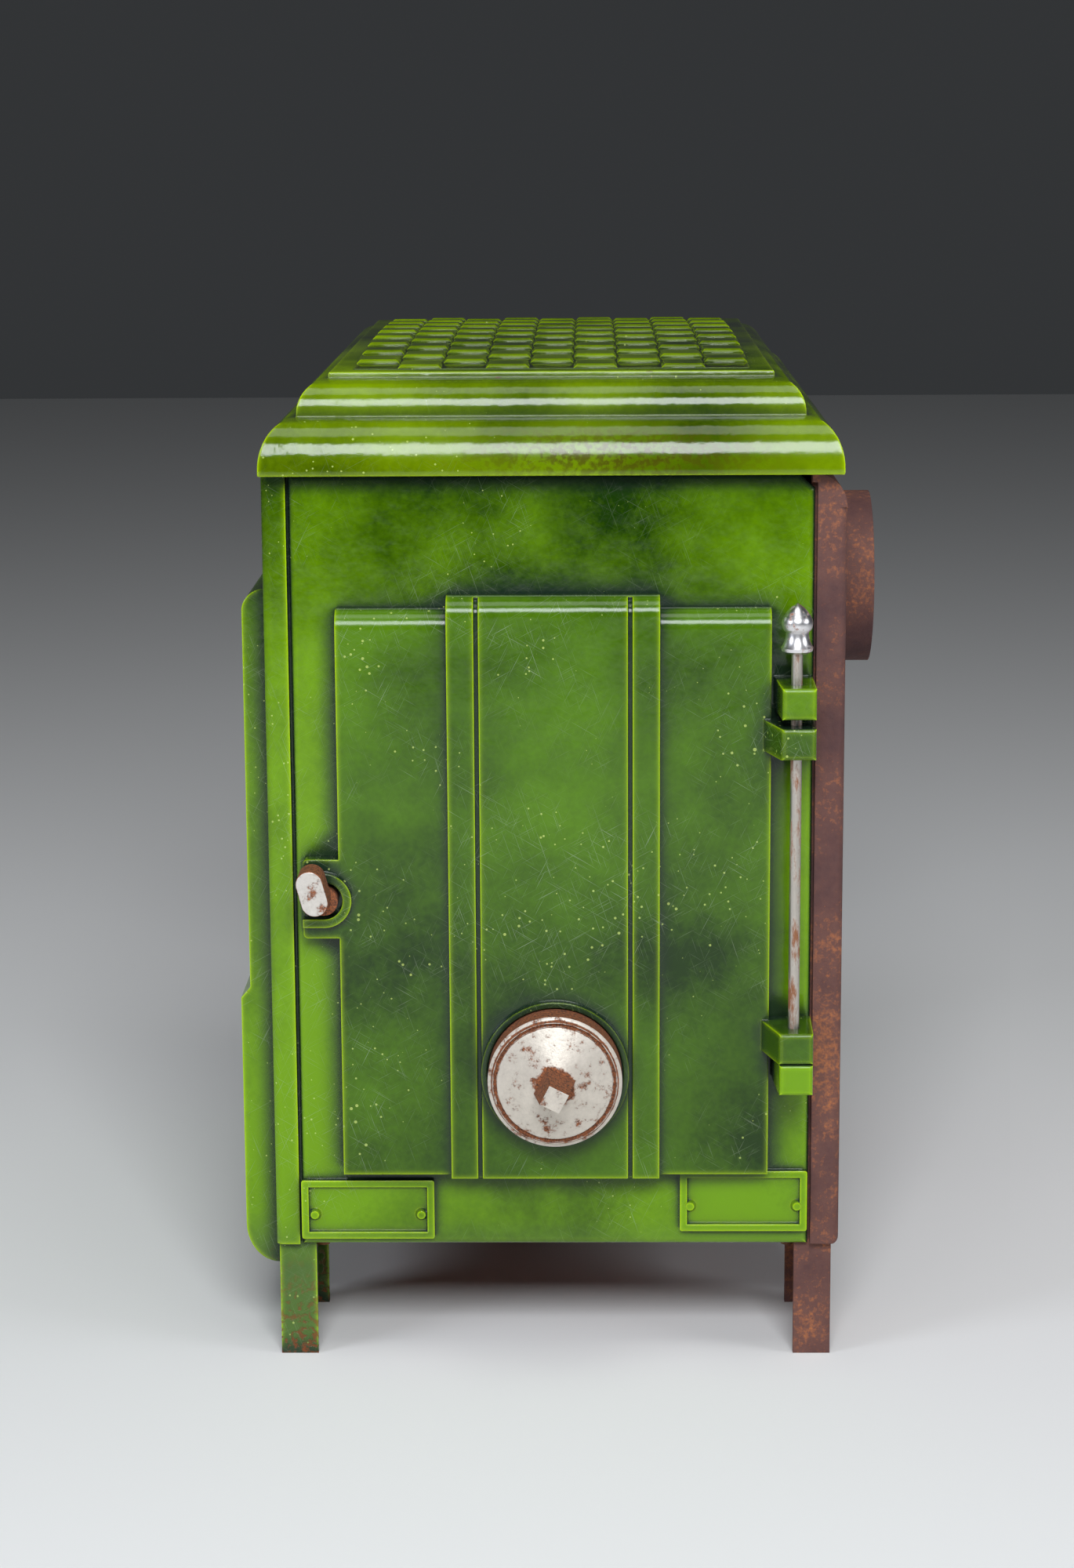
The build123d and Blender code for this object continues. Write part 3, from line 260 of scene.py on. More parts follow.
over_the_door = (mid_x + 40 * mm, face_y - 14 * mm, lid_mid.z + 13 * mm)
enamel_side = make_enamel("vitreous_enamel_green", "#163400", "#6A9600", "#B4DC04",
                          gloss=0.08, seed=0.0, scratched=0.25, run=0.5, spread=1.5)
enamel_door = make_enamel("vitreous_enamel_door", "#1A3406", "#4E760A", "#AED206",
                          gloss=0.10, seed=3.1, scratched=0.42, run=-0.3, spread=0.0, dusty=0.2)
enamel_top = make_enamel("vitreous_enamel_top", "#2A4000", "#708C00", "#BEE004",
                         gloss=0.07, seed=5.7, scratched=0.1, run=0.0, spread=0.6, stain=over_the_door)
# painted shade: a darker copy of the top's enamel, with the same seed, for the floor between the pads,
# standing in for the shade in those recesses
enamel_painted_shade = make_enamel("vitreous_enamel_painted_shade", "#0F1A00", "#263600", "#9CBC06",
                          gloss=0.07, seed=5.7, scratched=0.0, run=0.0, spread=0.0)
print("enamels:", enamel_side.name, enamel_door.name, enamel_top.name, enamel_painted_shade.name)

# %% [markdown]
# ## Rusty cast iron
# The side that stood against the wall was never enamelled. Bare cast iron rusts evenly to a
# purple brown, with orange where it is fresh. Inside, soot covers it.
# Rust is not a metal to the eye: it scatters light like a dry powder, so metallic stays at 0.

# %% Rusty iron
def make_rust(name, dark, brown, fresh, seed):
    """Dry rust with three tones and a sandy casting skin."""
    made, tree, shader = new_material(name)
    place = add(tree, "ShaderNodeTexCoord").outputs["Object"]
    spot = add(tree, "ShaderNodeMapping", {"Vector": place, "Location": (seed, seed, seed)}).outputs[0]
    large = add(tree, "ShaderNodeTexNoise", {"Vector": spot, "Scale": 14.0, "Detail": 7.0, "Roughness": 0.68})
    fine = add(tree, "ShaderNodeTexNoise", {"Vector": spot, "Scale": 330.0, "Detail": 4.0, "Roughness": 0.7})
    tone = add(tree, "ShaderNodeMapRange", {"Value": large.outputs[0], "From Min": 0.36, "From Max": 0.62})
    base = add(tree, "ShaderNodeMix", {0: tone.outputs[0], 6: colour(dark), 7: colour(brown)},
               data_type="RGBA")
    bloom = add(tree, "ShaderNodeMath", {0: large.outputs[0], 1: fine.outputs[0]}, operation="MULTIPLY")
    bloom = add(tree, "ShaderNodeMapRange", {"Value": bloom.outputs[0], "From Min": 0.27, "From Max": 0.46})
    base = add(tree, "ShaderNodeMix", {0: bloom.outputs[0], 6: base.outputs[2], 7: colour(fresh)},
               data_type="RGBA")
    tree.links.new(base.outputs[2], shader.inputs["Base Color"])
    rough = add(tree, "ShaderNodeMapRange", {"Value": fine.outputs[0], "To Min": 0.62, "To Max": 0.95})
    tree.links.new(rough.outputs[0], shader.inputs["Roughness"])
    near = add(tree, "ShaderNodeBevel", {"Radius": 1.2 * mm}, samples=4).outputs[0]
    # sand grains of the mould, 1 to 2 mm once rust has swollen them
    sand = add(tree, "ShaderNodeTexNoise", {"Vector": spot, "Scale": 520.0, "Detail": 3.0, "Roughness": 0.65})
    relief = add(tree, "ShaderNodeBump", {"Height": large.outputs[0], "Distance": 1.2 * mm, "Strength": 0.5,
                                          "Normal": near})
    relief = add(tree, "ShaderNodeBump", {"Height": sand.outputs[0], "Distance": 0.45 * mm, "Strength": 0.7,
                                          "Normal": relief.outputs[0]})
    tree.links.new(relief.outputs[0], shader.inputs["Normal"])
    return made


rusty_side = make_rust("cast_iron_rusted", "#4A2E2E", "#6A443A", "#B06A3C", 1.3)
rusty_small = make_rust("iron_fastener_rusted", "#4A3028", "#80502F", "#A8622C", 4.4)
sooty = make_rust("cast_iron_sooty", "#0F0E0D", "#2B2725", "#4A3A30", 7.9)
print("rusts:", rusty_side.name, rusty_small.name, sooty.name)

# %% [markdown]
# ## Worn iron
# The latch handle and the valve disc are bare iron that hands and gloves keep polished on the
# parts that stand out, while the sides stay rusty. The surface normal tells them apart: what
# faces the user (-Y) is worn to pale metal, and what faces sideways keeps its rust.

# %% Worn iron of the handle and the valve
groove_radius = 37.8 * mm


def make_worn(name, bright, seed, facing, front, axis=None):
    """Pale rubbed iron on the faces turned to the user, rust elsewhere."""
    made, tree, shader = new_material(name)
    own = add(tree, "ShaderNodeTexCoord").outputs
    place = own["Object"]
    spot = add(tree, "ShaderNodeMapping", {"Vector": place, "Location": (seed, seed, seed)}).outputs[0]
    patch = add(tree, "ShaderNodeTexNoise", {"Vector": spot, "Scale": 130.0, "Detail": 6.0,
                                             "Roughness": 0.72})
    grain = add(tree, "ShaderNodeTexNoise", {"Vector": spot, "Scale": 700.0, "Detail": 3.0, "Roughness": 0.7})
    # the piece's own normal, so that the wear stays where it is when the door swings
    towards = add(tree, "ShaderNodeSeparateXYZ", {0: own["Normal"]}).outputs["Y"]
    facing_out = add(tree, "ShaderNodeMapRange", {"Value": towards, "From Min": -0.35, "From Max": -facing})
    at = add(tree, "ShaderNodeSeparateXYZ", {0: place})
    if axis:
        # rust sits in the turned groove and round the foot of the square stub
        flat = add(tree, "ShaderNodeCombineXYZ", {"X": at.outputs["X"], "Y": at.outputs["Z"]})
        away = add(tree, "ShaderNodeVectorMath", {0: flat.outputs[0], 1: (axis[0], axis[1], 0)},
                   operation="DISTANCE")
        ring = add(tree, "ShaderNodeMath", {0: away.outputs["Value"], 1: groove_radius}, operation="SUBTRACT")
        ring = add(tree, "ShaderNodeMath", {0: ring.outputs[0]}, operation="ABSOLUTE")
        ring = add(tree, "ShaderNodeMapRange", {"Value": ring.outputs[0], "From Min": 0.5 * mm,
                                                "From Max": 1.8 * mm, "To Min": 0.55})
        foot = add(tree, "ShaderNodeMapRange", {"Value": away.outputs["Value"], "From Min": 10 * mm,
                                                "From Max": 15 * mm, "To Min": 0.45})
        tip = add(tree, "ShaderNodeMapRange", {"Value": at.outputs["Y"], "From Min": front + 3 * mm,
                                               "From Max": front + 1 * mm})
        foot = add(tree, "ShaderNodeMath", {0: foot.outputs[0], 1: tip.outputs[0]}, operation="MAXIMUM")
        rubbed = add(tree, "ShaderNodeMath", {0: ring.outputs[0], 1: foot.outputs[0]}, operation="MULTIPLY")
    else:
        # a hand only reaches the front of the handle
        rubbed = add(tree, "ShaderNodeMapRange", {"Value": at.outputs["Y"], "From Min": front + 14 * mm,
                                                  "From Max": front + 9 * mm})
    kept = add(tree, "ShaderNodeMath", {0: facing_out.outputs[0], 1: rubbed.outputs[0]},
               operation="MULTIPLY").outputs[0]
    mask = add(tree, "ShaderNodeMath", {0: kept, 1: patch.outputs[0]}, operation="MULTIPLY")
    mask = add(tree, "ShaderNodeMapRange", {"Value": mask.outputs[0], "From Min": 0.35, "From Max": 0.45})
    sandy = add(tree, "ShaderNodeMapRange", {"Value": grain.outputs[0], "From Min": 0.36, "From Max": 0.64})
    rust = add(tree, "ShaderNodeMix", {0: sandy.outputs[0], 6: colour("#40261C"), 7: colour("#9C5A32")},
               data_type="RGBA")
    pale = add(tree, "ShaderNodeMix", {0: patch.outputs[0], 6: colour("#A39C92"), 7: colour(bright)},
               data_type="RGBA")
    base = add(tree, "ShaderNodeMix", {0: mask.outputs[0], 6: rust.outputs[2], 7: pale.outputs[2]},
               data_type="RGBA")
    tree.links.new(base.outputs[2], shader.inputs["Base Color"])
    metal = add(tree, "ShaderNodeMath", {0: mask.outputs[0], 1: 0.4}, operation="MULTIPLY")
    tree.links.new(metal.outputs[0], shader.inputs["Metallic"])
    rough = add(tree, "ShaderNodeMapRange", {"Value": mask.outputs[0], "To Min": 0.85, "To Max": 0.42})
    tree.links.new(rough.outputs[0], shader.inputs["Roughness"])
    near = add(tree, "ShaderNodeBevel", {"Radius": 1.0 * mm}, samples=6).outputs[0]
    relief = add(tree, "ShaderNodeBump", {"Height": patch.outputs[0], "Distance": 0.5 * mm, "Strength": 0.5,
                                          "Normal": near})
    relief = add(tree, "ShaderNodeBump", {"Height": grain.outputs[0], "Distance": 0.15 * mm, "Strength": 0.6,
                                          "Normal": relief.outputs[0]})
    tree.links.new(relief.outputs[0], shader.inputs["Normal"])
    return made


handle_front = min(vertex.co.y for vertex in nodes["latch_handle"].data.vertices)
valve_front = min(vertex.co.y for vertex in nodes["air_valve_disc"].data.vertices)
worn_handle = make_worn("iron_worn_handle", "#F0EAE2", seed=0.9, facing=0.9, front=handle_front)
worn_valve = make_worn("iron_worn_valve", "#E4DACC", seed=2.6, facing=0.8, front=valve_front, axis=valve_axis)
print("worn:", worn_handle.name, worn_valve.name)

# %% [markdown]
# ## Steel rod, nickel and rope
# The hinge rod is drawn steel with rust in long streaks, so its noise is stretched along Z. The
# finial was nickel plated and is dulled to a satin shine, with a few rust freckles. Stove rope is
# glass fibre, off-white and matt, grey where it has met smoke.

# %% Drawn steel, nickel plate and glass-fibre rope
def make_metal(name, bright, tarnish, shine, dull, stretch, clean_to, rusty_from, pitted=0.3):
    """Bare metal with tarnish wherever a noise passes a limit."""
    made, tree, shader = new_material(name)
    place = add(tree, "ShaderNodeTexCoord").outputs["Object"]
    spot = add(tree, "ShaderNodeMapping", {"Vector": place, "Scale": (1, 1, stretch)}).outputs[0]
    patch = add(tree, "ShaderNodeTexNoise", {"Vector": spot, "Scale": 160.0, "Detail": 6.0, "Roughness": 0.7})
    mask = add(tree, "ShaderNodeMapRange", {"Value": patch.outputs[0], "From Min": clean_to,
                                             "From Max": rusty_from})
    base = add(tree, "ShaderNodeMix", {0: mask.outputs[0], 6: colour(bright), 7: colour(tarnish)},
               data_type="RGBA")
    tree.links.new(base.outputs[2], shader.inputs["Base Color"])
    metal = add(tree, "ShaderNodeMapRange", {"Value": mask.outputs[0], "To Min": 1.0, "To Max": 0.1})
    tree.links.new(metal.outputs[0], shader.inputs["Metallic"])
    rough = add(tree, "ShaderNodeMapRange", {"Value": mask.outputs[0], "To Min": shine, "To Max": dull})
    tree.links.new(rough.outputs[0], shader.inputs["Roughness"])
    relief = add(tree, "ShaderNodeBump", {"Height": patch.outputs[0], "Distance": 0.2 * mm,
                                          "Strength": pitted})
    tree.links.new(relief.outputs[0], shader.inputs["Normal"])
    return made


rod_steel = make_metal("steel_drawn_rod", "#C9C2B8", "#8A5A3C",
                       shine=0.40, dull=0.8, stretch=0.25, clean_to=0.48, rusty_from=0.60)
nickel = make_metal("nickel_plate", "#E4E2E2", "#8A5636",
                    shine=0.32, dull=0.7, stretch=1.0, clean_to=0.56, rusty_from=0.64, pitted=0.02)
small_steel = make_metal("steel_turned", "#A8A49E", "#6B4A34",
                         shine=0.35, dull=0.8, stretch=1.0, clean_to=0.50, rusty_from=0.64)

glass_rope, tree, shader = new_material("glass_fibre_rope")
place = add(tree, "ShaderNodeTexCoord").outputs["Object"]
fibre = add(tree, "ShaderNodeTexNoise", {"Vector": place, "Scale": 900.0, "Detail": 3.0})
smoke = add(tree, "ShaderNodeTexNoise", {"Vector": place, "Scale": 30.0, "Detail": 4.0})
base = add(tree, "ShaderNodeMix", {0: smoke.outputs[0], 6: colour("#6E6A63"), 7: colour("#C9C4B8")},
           data_type="RGBA")
tree.links.new(base.outputs[2], shader.inputs["Base Color"])
shader.inputs["Roughness"].default_value = 0.92
relief = add(tree, "ShaderNodeBump", {"Height": fibre.outputs[0], "Distance": 0.3 * mm, "Strength": 0.6})
tree.links.new(relief.outputs[0], shader.inputs["Normal"])
print("metals:", rod_steel.name, nickel.name, small_steel.name, glass_rope.name)

# %% [markdown]
# ## Dressing the CAD nodes
# Nodes whose shape is already right only need a better material in their first slot. Their
# meshes are left alone, because the motion checks are made against them.

# %% Materials of the carried-over nodes
finishes = {
    "facade_panel": enamel_side, "door_end_panel": enamel_side, "far_end_panel": enamel_side,
    "door": enamel_door, "top_cover": enamel_top, "back_panel": rusty_side,
    "base_plate": rusty_side, "flue_collar": rusty_side, "tie_rods": rusty_small,
    "tie_nuts": rusty_small, "collar_bolts": rusty_small, "latch_nut": rusty_small,
    "latch_tongue": rusty_small, "air_valve_stop_nut": rusty_small, "door_liner": rusty_side,
    "hearth_plate": sooty, "burn_plate_facade": sooty, "burn_plate_back": sooty,
    "burn_plate_end": sooty, "baffle_plate": sooty, "ember_guard": sooty,
    "door_liner_screws": small_steel, "air_valve_spindle": small_steel,
    "air_valve_tab_washer": small_steel, "air_valve_guide_pin": small_steel,
    "latch_handle": worn_handle, "air_valve_disc": worn_valve,
    "hinge_rod": rod_steel, "hinge_finial": nickel,
    "collar_rope": glass_rope, "door_rope": glass_rope,
}
for name, finish in finishes.items():
    nodes[name].data.materials.clear()
    nodes[name].data.materials.append(finish)
print("dressed", len(finishes), "of", len(nodes))

# %% [markdown]
# ## The stepped top
# The top is one casting with three tiers, each with a quarter-round edge and mitred corners.
# It could be modelled by extruding and bevelling a box, but its shape follows a rule: one
# section, set in from a rectangle. So the section is listed once, as pairs of inset and height,
# and a rectangle is drawn at each pair. Neighbouring rectangles are bridged with four faces.

# %% The section of the top, from the hollow underside round to the highest tier
def quarter_round(inset, height, run, rise, steps=14):
    """Points of an elliptical quarter-round that rises as it goes in."""
    return [(inset + run * (1 - cos(a)), height + rise * sin(a)) for a in
            [pi / 2 * i / steps for i in range(steps + 1)]]


section = [(30.5, 51.0), (30.5, 28.5), (13.5, 28.5), (13.5, 0.6), (14.1, 0.0), (1.0, 0.0), (0.3, 0.3),
           (0.0, 1.0)]
section += quarter_round(0.0, 4.0, 22.5, 30.5)
section += [(22.7, 35.2)]
section += quarter_round(22.8, 36.5, 18.7, 20.5)
section += [(41.6, 57.4), (41.8, 59.8), (42.1, 60.6), (42.8, 61.0)]


def lid_ring(mesh, inset, height):
    """Four corner points of the top at one inset and height."""
    x = half_w - inset * mm
    y = half_l - inset * mm
    corners = [(-x, -y), (x, -y), (x, y), (-x, y)]
    return [mesh.verts.new(lid_mid + Vector((cx, cy, height * mm))) for cx, cy in corners]


def finish_mesh(name, mesh, finish, smooth_to=radians(35)):
    """Turn a bmesh into an object at the origin, with outward faces and smooth curves."""
    bmesh.ops.recalc_face_normals(mesh, faces=mesh.faces)
    data = bpy.data.meshes.new(name)
    mesh.to_mesh(data)
    mesh.free()
    made = bpy.data.objects.new(name, data)
    bpy.context.scene.collection.objects.link(made)
    data.materials.append(finish)
    data.shade_smooth()
    data.set_sharp_from_angle(angle=smooth_to)
    return made


mesh = bmesh.new()
rings = [lid_ring(mesh, inset, height) for inset, height in section]
for near, far in zip(rings, rings[1:]):
    for i in range(4):
        j = (i + 1) % 4
        mesh.faces.new((near[i], near[j], far[j], far[i]))
mesh.faces.new(rings[0])
mesh.faces.new(rings[-1])
top_tiers = finish_mesh("top_tiers", mesh, enamel_top)
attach(top_tiers, "stove")
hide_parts("top_cover")
print("top tiers:", len(top_tiers.data.polygons), "faces from", len(section), "rings")

# %% [markdown]
# ## The chequered field
# The cooking surface is a gentle arch covered in a chequer of raised and sunken squares, a
# common anti-slip pattern. Modelling 76 pads by hand would be slow, and an array could not
# follow the arch. Geometry Nodes can: a grid gives one point per square, every second one is
# deleted, the rest are lifted onto the arch and tilted along it, and a pad is put on each.

# %% The arch under the pads
field_w = columns * square
field_l = rows * square
arch_rise = 5.3 * mm
field_foot = 60.5 * mm                               # just under the highest tier
floor_lift = 61.4 * mm
steps = 48
mesh = bmesh.new()
ribs = []
for i in range(steps + 1):
    y = field_l * (i / steps - 0.5)
    z = floor_lift + arch_rise * (1 - (2 * y / field_l) ** 2)
    ribs.append([mesh.verts.new(lid_mid + Vector((x, y, h))) for x, h in
                 ((-field_w / 2, field_foot), (-field_w / 2, z), (field_w / 2, z), (field_w / 2, field_foot))])
for near, far in zip(ribs, ribs[1:]):
    for k in range(4):
        mesh.faces.new((near[k], near[(k + 1) % 4], far[(k + 1) % 4], far[k]))
mesh.faces.new(ribs[0])
mesh.faces.new(ribs[-1])
# the floor between the pads takes the darker enamel, which is painted shade
arch_floor = finish_mesh("chequer_floor", mesh, enamel_painted_shade)
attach(arch_floor, "stove")
print("arch rises", arch_rise / mm, "mm over", round(field_l, 3), "m")

# %% One pad, drafted like a casting, with a rounded shoulder
pad_section = ((0.0, -0.6), (0.0, 0.0), (2.0, 2.05), (2.7, 2.35), (4.0, 2.4))
corner = 0.8 * mm
mesh = bmesh.new()
pad_rings = []
for inset, height in pad_section:
    side = square / 2 - inset * mm
    loop = []
    for sx, sy, turn in ((1, -1, -pi / 2), (1, 1, 0), (-1, 1, pi / 2), (-1, -1, pi)):
        for k in range(3):
            a = turn + k * pi / 4
            loop.append(mesh.verts.new((sx * (side - corner) + corner * cos(a),
                                        sy * (side - corner) + corner * sin(a), height * mm)))
    pad_rings.append(loop)
for near, far in zip(pad_rings, pad_rings[1:]):
    for k in range(12):
        mesh.faces.new((near[k], near[(k + 1) % 12], far[(k + 1) % 12], far[k]))
mesh.faces.new(pad_rings[0])
mesh.faces.new(pad_rings[-1])
pad = finish_mesh("chequer_pad", mesh, enamel_top, radians(50))
print("one pad has", len(pad.data.polygons), "faces")

# %% A Geometry Nodes tree that lays the pads on the arch
laying = bpy.data.node_groups.new("lay_pads", "GeometryNodeTree")
for label, kind in (("Square", "NodeSocketFloat"), ("Columns", "NodeSocketInt"), ("Rows", "NodeSocketInt"),
                    ("Arch", "NodeSocketFloat"), ("Floor", "NodeSocketVector"), ("Pad", "NodeSocketObject"),
                    ("Enamel", "NodeSocketMaterial")):
    laying.interface.new_socket(label, in_out="INPUT", socket_type=kind)
laying.interface.new_socket("Geometry", in_out="OUTPUT", socket_type="NodeSocketGeometry")
given = add(laying, "NodeGroupInput").outputs
less_x = add(laying, "ShaderNodeMath", {0: given["Columns"], 1: 1.0}, operation="SUBTRACT")
less_y = add(laying, "ShaderNodeMath", {0: given["Rows"], 1: 1.0}, operation="SUBTRACT")
size_x = add(laying, "ShaderNodeMath", {0: less_x.outputs[0], 1: given["Square"]}, operation="MULTIPLY")
size_y = add(laying, "ShaderNodeMath", {0: less_y.outputs[0], 1: given["Square"]}, operation="MULTIPLY")
grid = add(laying, "GeometryNodeMeshGrid", {"Size X": size_x.outputs[0], "Size Y": size_y.outputs[0],
                                            "Vertices X": given["Columns"], "Vertices Y": given["Rows"]})
number = add(laying, "GeometryNodeInputIndex").outputs[0]
odd = add(laying, "ShaderNodeMath", {0: number, 1: 2.0}, operation="MODULO")
# both counts are odd, so every second point in reading order is one colour of the chequer
even = add(laying, "FunctionNodeCompare", {0: odd.outputs[0], 1: 0.5},
           data_type="FLOAT", operation="LESS_THAN")
kept = add(laying, "GeometryNodeDeleteGeometry", {"Geometry": grid.outputs[0], "Selection": even.outputs[0]},
           domain="POINT")
at = add(laying, "ShaderNodeSeparateXYZ", {0: add(laying, "GeometryNodeInputPosition").outputs[0]})
reach = add(laying, "ShaderNodeMath", {0: given["Rows"], 1: given["Square"]}, operation="MULTIPLY")
part = add(laying, "ShaderNodeMath", {0: at.outputs["Y"], 1: reach.outputs[0]}, operation="DIVIDE")
twice = add(laying, "ShaderNodeMath", {0: part.outputs[0], 1: 2.0}, operation="MULTIPLY")
squared = add(laying, "ShaderNodeMath", {0: twice.outputs[0], 1: 2.0}, operation="POWER")
fall = add(laying, "ShaderNodeMath", {0: squared.outputs[0], 1: -1.0, 2: 1.0}, operation="MULTIPLY_ADD")
lift = add(laying, "ShaderNodeMath", {0: fall.outputs[0], 1: given["Arch"]}, operation="MULTIPLY")
up = add(laying, "ShaderNodeCombineXYZ", {"Z": lift.outputs[0]})
moved = add(laying, "ShaderNodeVectorMath", {0: up.outputs[0], 1: given["Floor"]}, operation="ADD")
placed = add(laying, "GeometryNodeSetPosition", {"Geometry": kept.outputs[0], "Offset": moved.outputs[0]})
# each pad tips with the arch: the slope is the arch's derivative
steep = add(laying, "ShaderNodeMath", {0: part.outputs[0], 1: -8.0}, operation="MULTIPLY")
slope = add(laying, "ShaderNodeMath", {0: given["Arch"], 1: reach.outputs[0]}, operation="DIVIDE")
slope = add(laying, "ShaderNodeMath", {0: steep.outputs[0], 1: slope.outputs[0]}, operation="MULTIPLY")
tilt = add(laying, "ShaderNodeMath", {0: slope.outputs[0]}, operation="ARCTANGENT")
turned = add(laying, "ShaderNodeCombineXYZ", {"X": tilt.outputs[0]})
info = add(laying, "GeometryNodeObjectInfo", {"Object": given["Pad"]})
laid = add(laying, "GeometryNodeInstanceOnPoints", {"Points": placed.outputs[0],
                                                    "Instance": info.outputs["Geometry"],
                                                    "Rotation": turned.outputs[0]})
real = add(laying, "GeometryNodeRealizeInstances", {0: laid.outputs[0]})
dressed = add(laying, "GeometryNodeSetMaterial", {"Geometry": real.outputs[0], "Material": given["Enamel"]})
add(laying, "NodeGroupOutput", {0: dressed.outputs[0]})


def run_nodes(name, tree, values):
    """Run a Geometry Nodes tree on an empty mesh and keep its result as a plain mesh object."""
    carrier = bpy.data.objects.new(name, bpy.data.meshes.new(name))
    bpy.context.scene.collection.objects.link(carrier)
    modifier = carrier.modifiers.new("nodes", "NODES")
    modifier.node_group = tree
    for item in tree.interface.items_tree:
        if item.in_out == "INPUT" and item.name in values:
            modifier[item.identifier] = values[item.name]
    bpy.context.view_layer.update()
    seen = carrier.evaluated_get(bpy.context.evaluated_depsgraph_get())
    plain = bpy.data.meshes.new_from_object(seen)
    carrier.modifiers.clear()
    carrier.data = plain
    return carrier


chequer = run_nodes("chequer_pads", laying, {
    "Square": square, "Columns": columns, "Rows": rows, "Arch": arch_rise,
    "Floor": lid_mid + Vector((0, 0, floor_lift)), "Pad": pad, "Enamel": enamel_top})
bpy.data.objects.remove(pad)
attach(chequer, "stove")
print("pads:", len(chequer.data.polygons), "faces")

# %% [markdown]
# ## Stove rope
# The door shuts on a rope of braided glass fibre, pressed into a channel, and the collar has
# one behind its flange. A plain band would not read as rope, so three strands are wound round
# the channel's middle line. The path is a rounded rectangle or a circle, and each strand is a
# small tube that circles it once every 16 mm.

# %% Wound rope
def rounded_path(width, height, corner, step=4 * mm):
    """Points along a rounded rectangle in its own plane, with the corner arcs closely spaced."""
    points = []
    for cx, cy, turn in ((1, -1, -pi / 2), (1, 1, 0), (-1, 1, pi / 2), (-1, -1, pi)):
        for k in range(9):
            a = turn + k * pi / 16
            points.append(Vector((cx * (width / 2 - corner) + corner * cos(a),
                                  cy * (height / 2 - corner) + corner * sin(a))))
    dense = []
    for a, b in zip(points, points[1:] + points[:1]):
        count = max(1, round((b - a).length / step))
        dense += [a.lerp(b, i / count) for i in range(count)]
    return dense


def wind_rope(name, points, place, thick, deep, pitch, strands=3):
    """Wind strands round a closed path. place turns a path point and a height into world space."""
    mesh = bmesh.new()
    lengths = [(b - a).length for a, b in zip(points, points[1:] + points[:1])]
    turns = round(sum(lengths) / pitch)
    for strand in range(strands):
        run, loops = 0.0, []
        for i, point in enumerate(points):
            ahead = points[(i + 1) % len(points)] - points[i - 1]
            ahead.normalize()
            sideways = Vector((ahead.y, -ahead.x))
            a = 2 * pi * (turns * run / sum(lengths) + strand / strands)
            run += lengths[i]
            loop = []
            for k in range(6):
                b = 2 * pi * k / 6
                across = thick * (0.46 * cos(a) + 0.54 * cos(b))
                out = deep * (0.46 * sin(a) + 0.54 * sin(b))
                loop.append(mesh.verts.new(place(point + sideways * across, out)))
            loops.append(loop)
        for near, far in zip(loops, loops[1:] + loops[:1]):
            for k in range(6):
                mesh.faces.new((near[k], near[(k + 1) % 6], far[(k + 1) % 6], far[k]))
    return finish_mesh(name, mesh, glass_rope, radians(80))


low, high = (Vector(corner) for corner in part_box("door_rope"))
mid = (low + high) / 2
channel = 9 * mm
lay = 16 * mm                                        # a strand goes once round in this length
play = 0.1 * mm
path = rounded_path(high.x - low.x - channel, high.z - low.z - channel, 14 * mm)
seal = wind_rope("door_rope_wound", path, lambda p, out: mid + Vector((p.x, out, p.y)),
                 channel / 2 - play, (high.y - low.y) / 2 - play, lay)
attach(seal, "door")
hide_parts("door_rope")

low, high = (Vector(corner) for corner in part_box("collar_rope"))
hub = (low + high) / 2
half_channel = 3 * mm
radius = (high.z - low.z) / 2 - half_channel
count = 120
circle = [Vector((radius * cos(2 * pi * i / count), radius * sin(2 * pi * i / count))) for i in range(count)]
ring = wind_rope("collar_rope_wound", circle, lambda p, out: hub + Vector((out, p.x, p.y)),
                 half_channel - play, (high.x - low.x) / 2 - play, lay)
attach(ring, "stove")
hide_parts("collar_rope")
print("ropes:", len(seal.data.polygons), "and", len(ring.data.polygons), "faces")

# %% [markdown]
# ## Floor, light and camera
# Daylight from a wide doorway behind and above the camera lights this kind of scene, and it
# draws one narrow white band along every rounded edge. A wide lamp at 30 degrees gives the same
# band. Weaker lamps stand above and at both sides. The world stays a plain dark grey: a pale one
# would lay a veil over the flat tops, which the camera sees at a grazing angle.

# %% Floor and background
bpy.ops.mesh.primitive_plane_add(size=14, location=(0, 0, 0))
floor = bpy.context.object
floor.name = "studio_floor"
floor_paint, tree, shader = new_material("floor_paint")
shader.inputs["Base Color"].default_value = colour("#EFEEEC")
shader.inputs["Roughness"].default_value = 0.8
floor.data.materials.append(floor_paint)

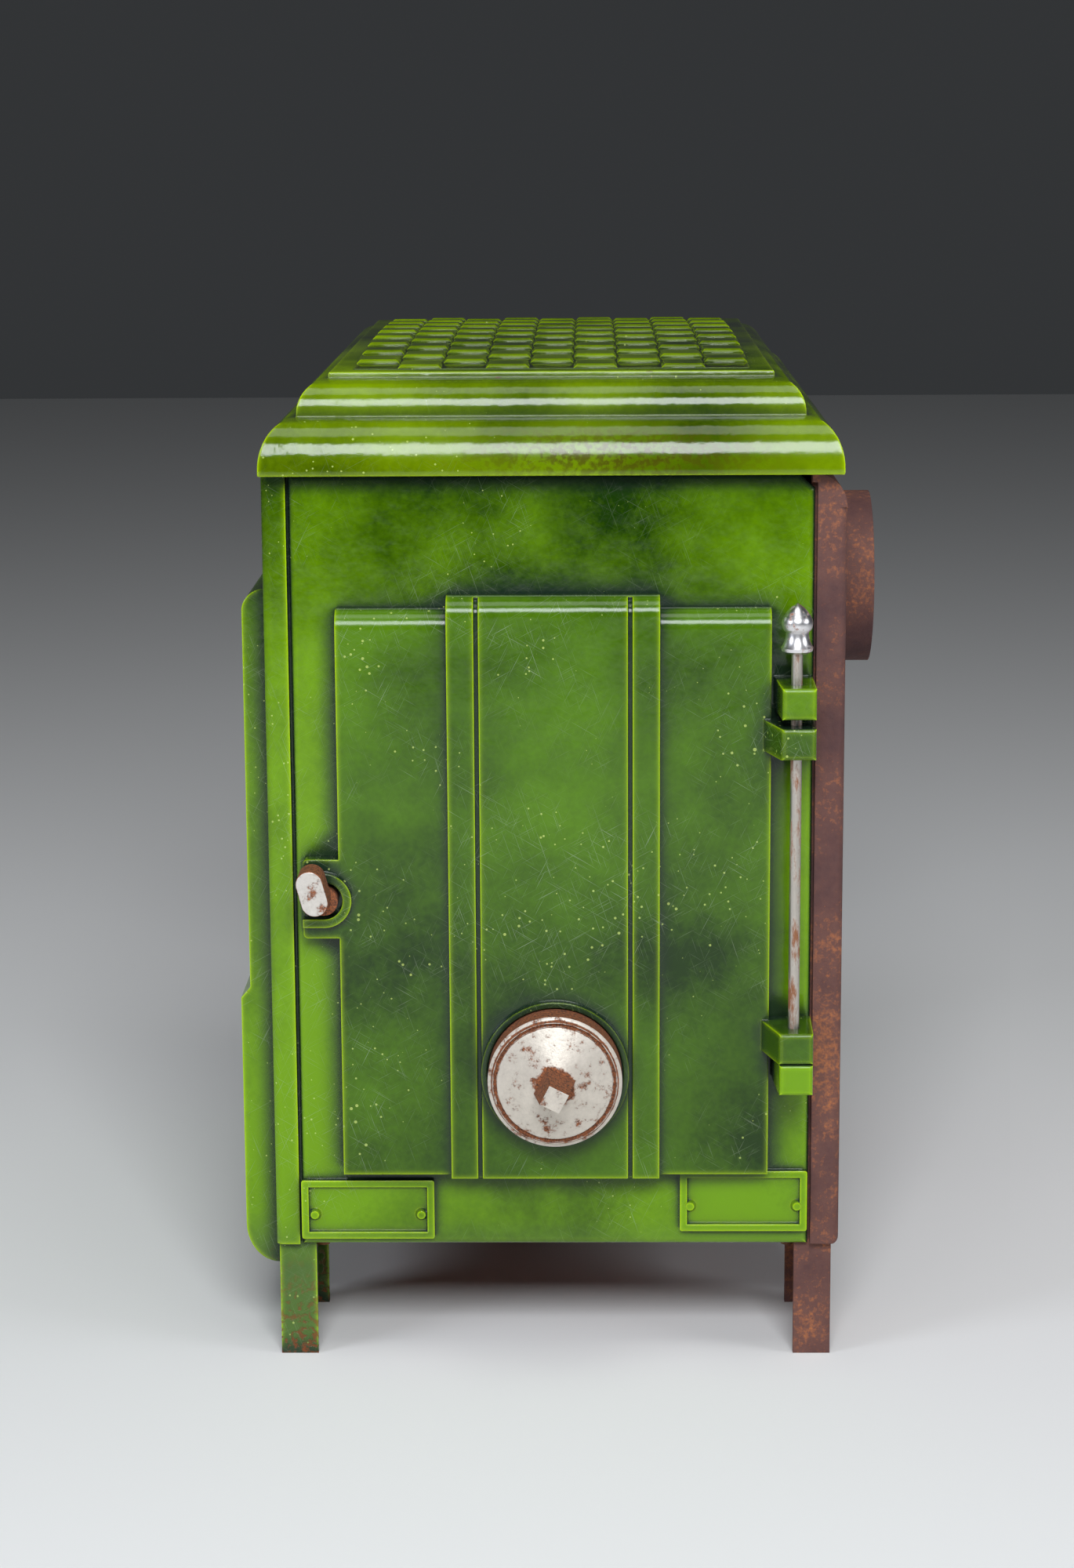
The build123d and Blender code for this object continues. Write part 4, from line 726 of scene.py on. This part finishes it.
world = bpy.data.worlds.new("studio")
bpy.context.scene.world = world
world.use_nodes = True
tree = world.node_tree
tree.nodes.clear()
around = add(tree, "ShaderNodeBackground", {"Color": colour("#8E9296"), "Strength": 0.12})
add(tree, "ShaderNodeOutputWorld", {"Surface": around.outputs[0]})


def lamp(name, place, aim, size, power, tint="#FFFFFF", flat=0.8):
    """A wide, low area lamp aimed at a point."""
    light = bpy.data.lights.new(name, "AREA")
    light.energy = power
    light.shape = "RECTANGLE"
    light.size = size
    light.size_y = size * flat
    light.color = colour(tint)[:3]
    made = bpy.data.objects.new(name, light)
    bpy.context.scene.collection.objects.link(made)
    back = Vector(place) - Vector(aim)
    made.matrix_world = Matrix.Translation(place) @ back.to_track_quat("Z", "Y").to_matrix().to_4x4()
    return made


lamp("open_door_front", (0.15, -3.1, 2.35), (0, 0, 0.5), 1.5, 105, "#F6FAFF")
lamp("sky_above", (0.1, -0.9, 2.9), (0, 0, 0.4), 1.4, 16)
lamp("window_left", (-2.2, -1.6, 1.3), (0, 0, 0.3), 1.0, 22, "#EEF4FF")
lamp("window_right", (2.2, -1.0, 1.2), (0, 0, 0.3), 1.0, 14, "#F4F8FF")

# %% The camera, where the photographer stood
camera_data = bpy.data.cameras.new("camera")
camera_data.sensor_width = 36
camera_data.lens = 76.9
camera = bpy.data.objects.new("camera", camera_data)
bpy.context.scene.collection.objects.link(camera)
pitch, yaw, roll = radians(11.535), radians(-0.914), radians(-0.332)
ahead = Vector((sin(yaw) * cos(pitch), cos(yaw) * cos(pitch), -sin(pitch)))
right = Vector((cos(yaw), -sin(yaw), 0))
up = right.cross(ahead)
right, up = right * cos(roll) + up * sin(roll), up * cos(roll) - right * sin(roll)
turn = Matrix((right, up, -ahead)).transposed().to_4x4()
eye = Vector((mid_x + 23.2 * mm, face_y - 2.072, 0.805))
camera.matrix_world = Matrix.Translation(eye) @ turn
bpy.context.scene.camera = camera
bpy.context.scene.view_settings.view_transform = "Standard"
print("camera at", [round(v, 3) for v in camera.location])
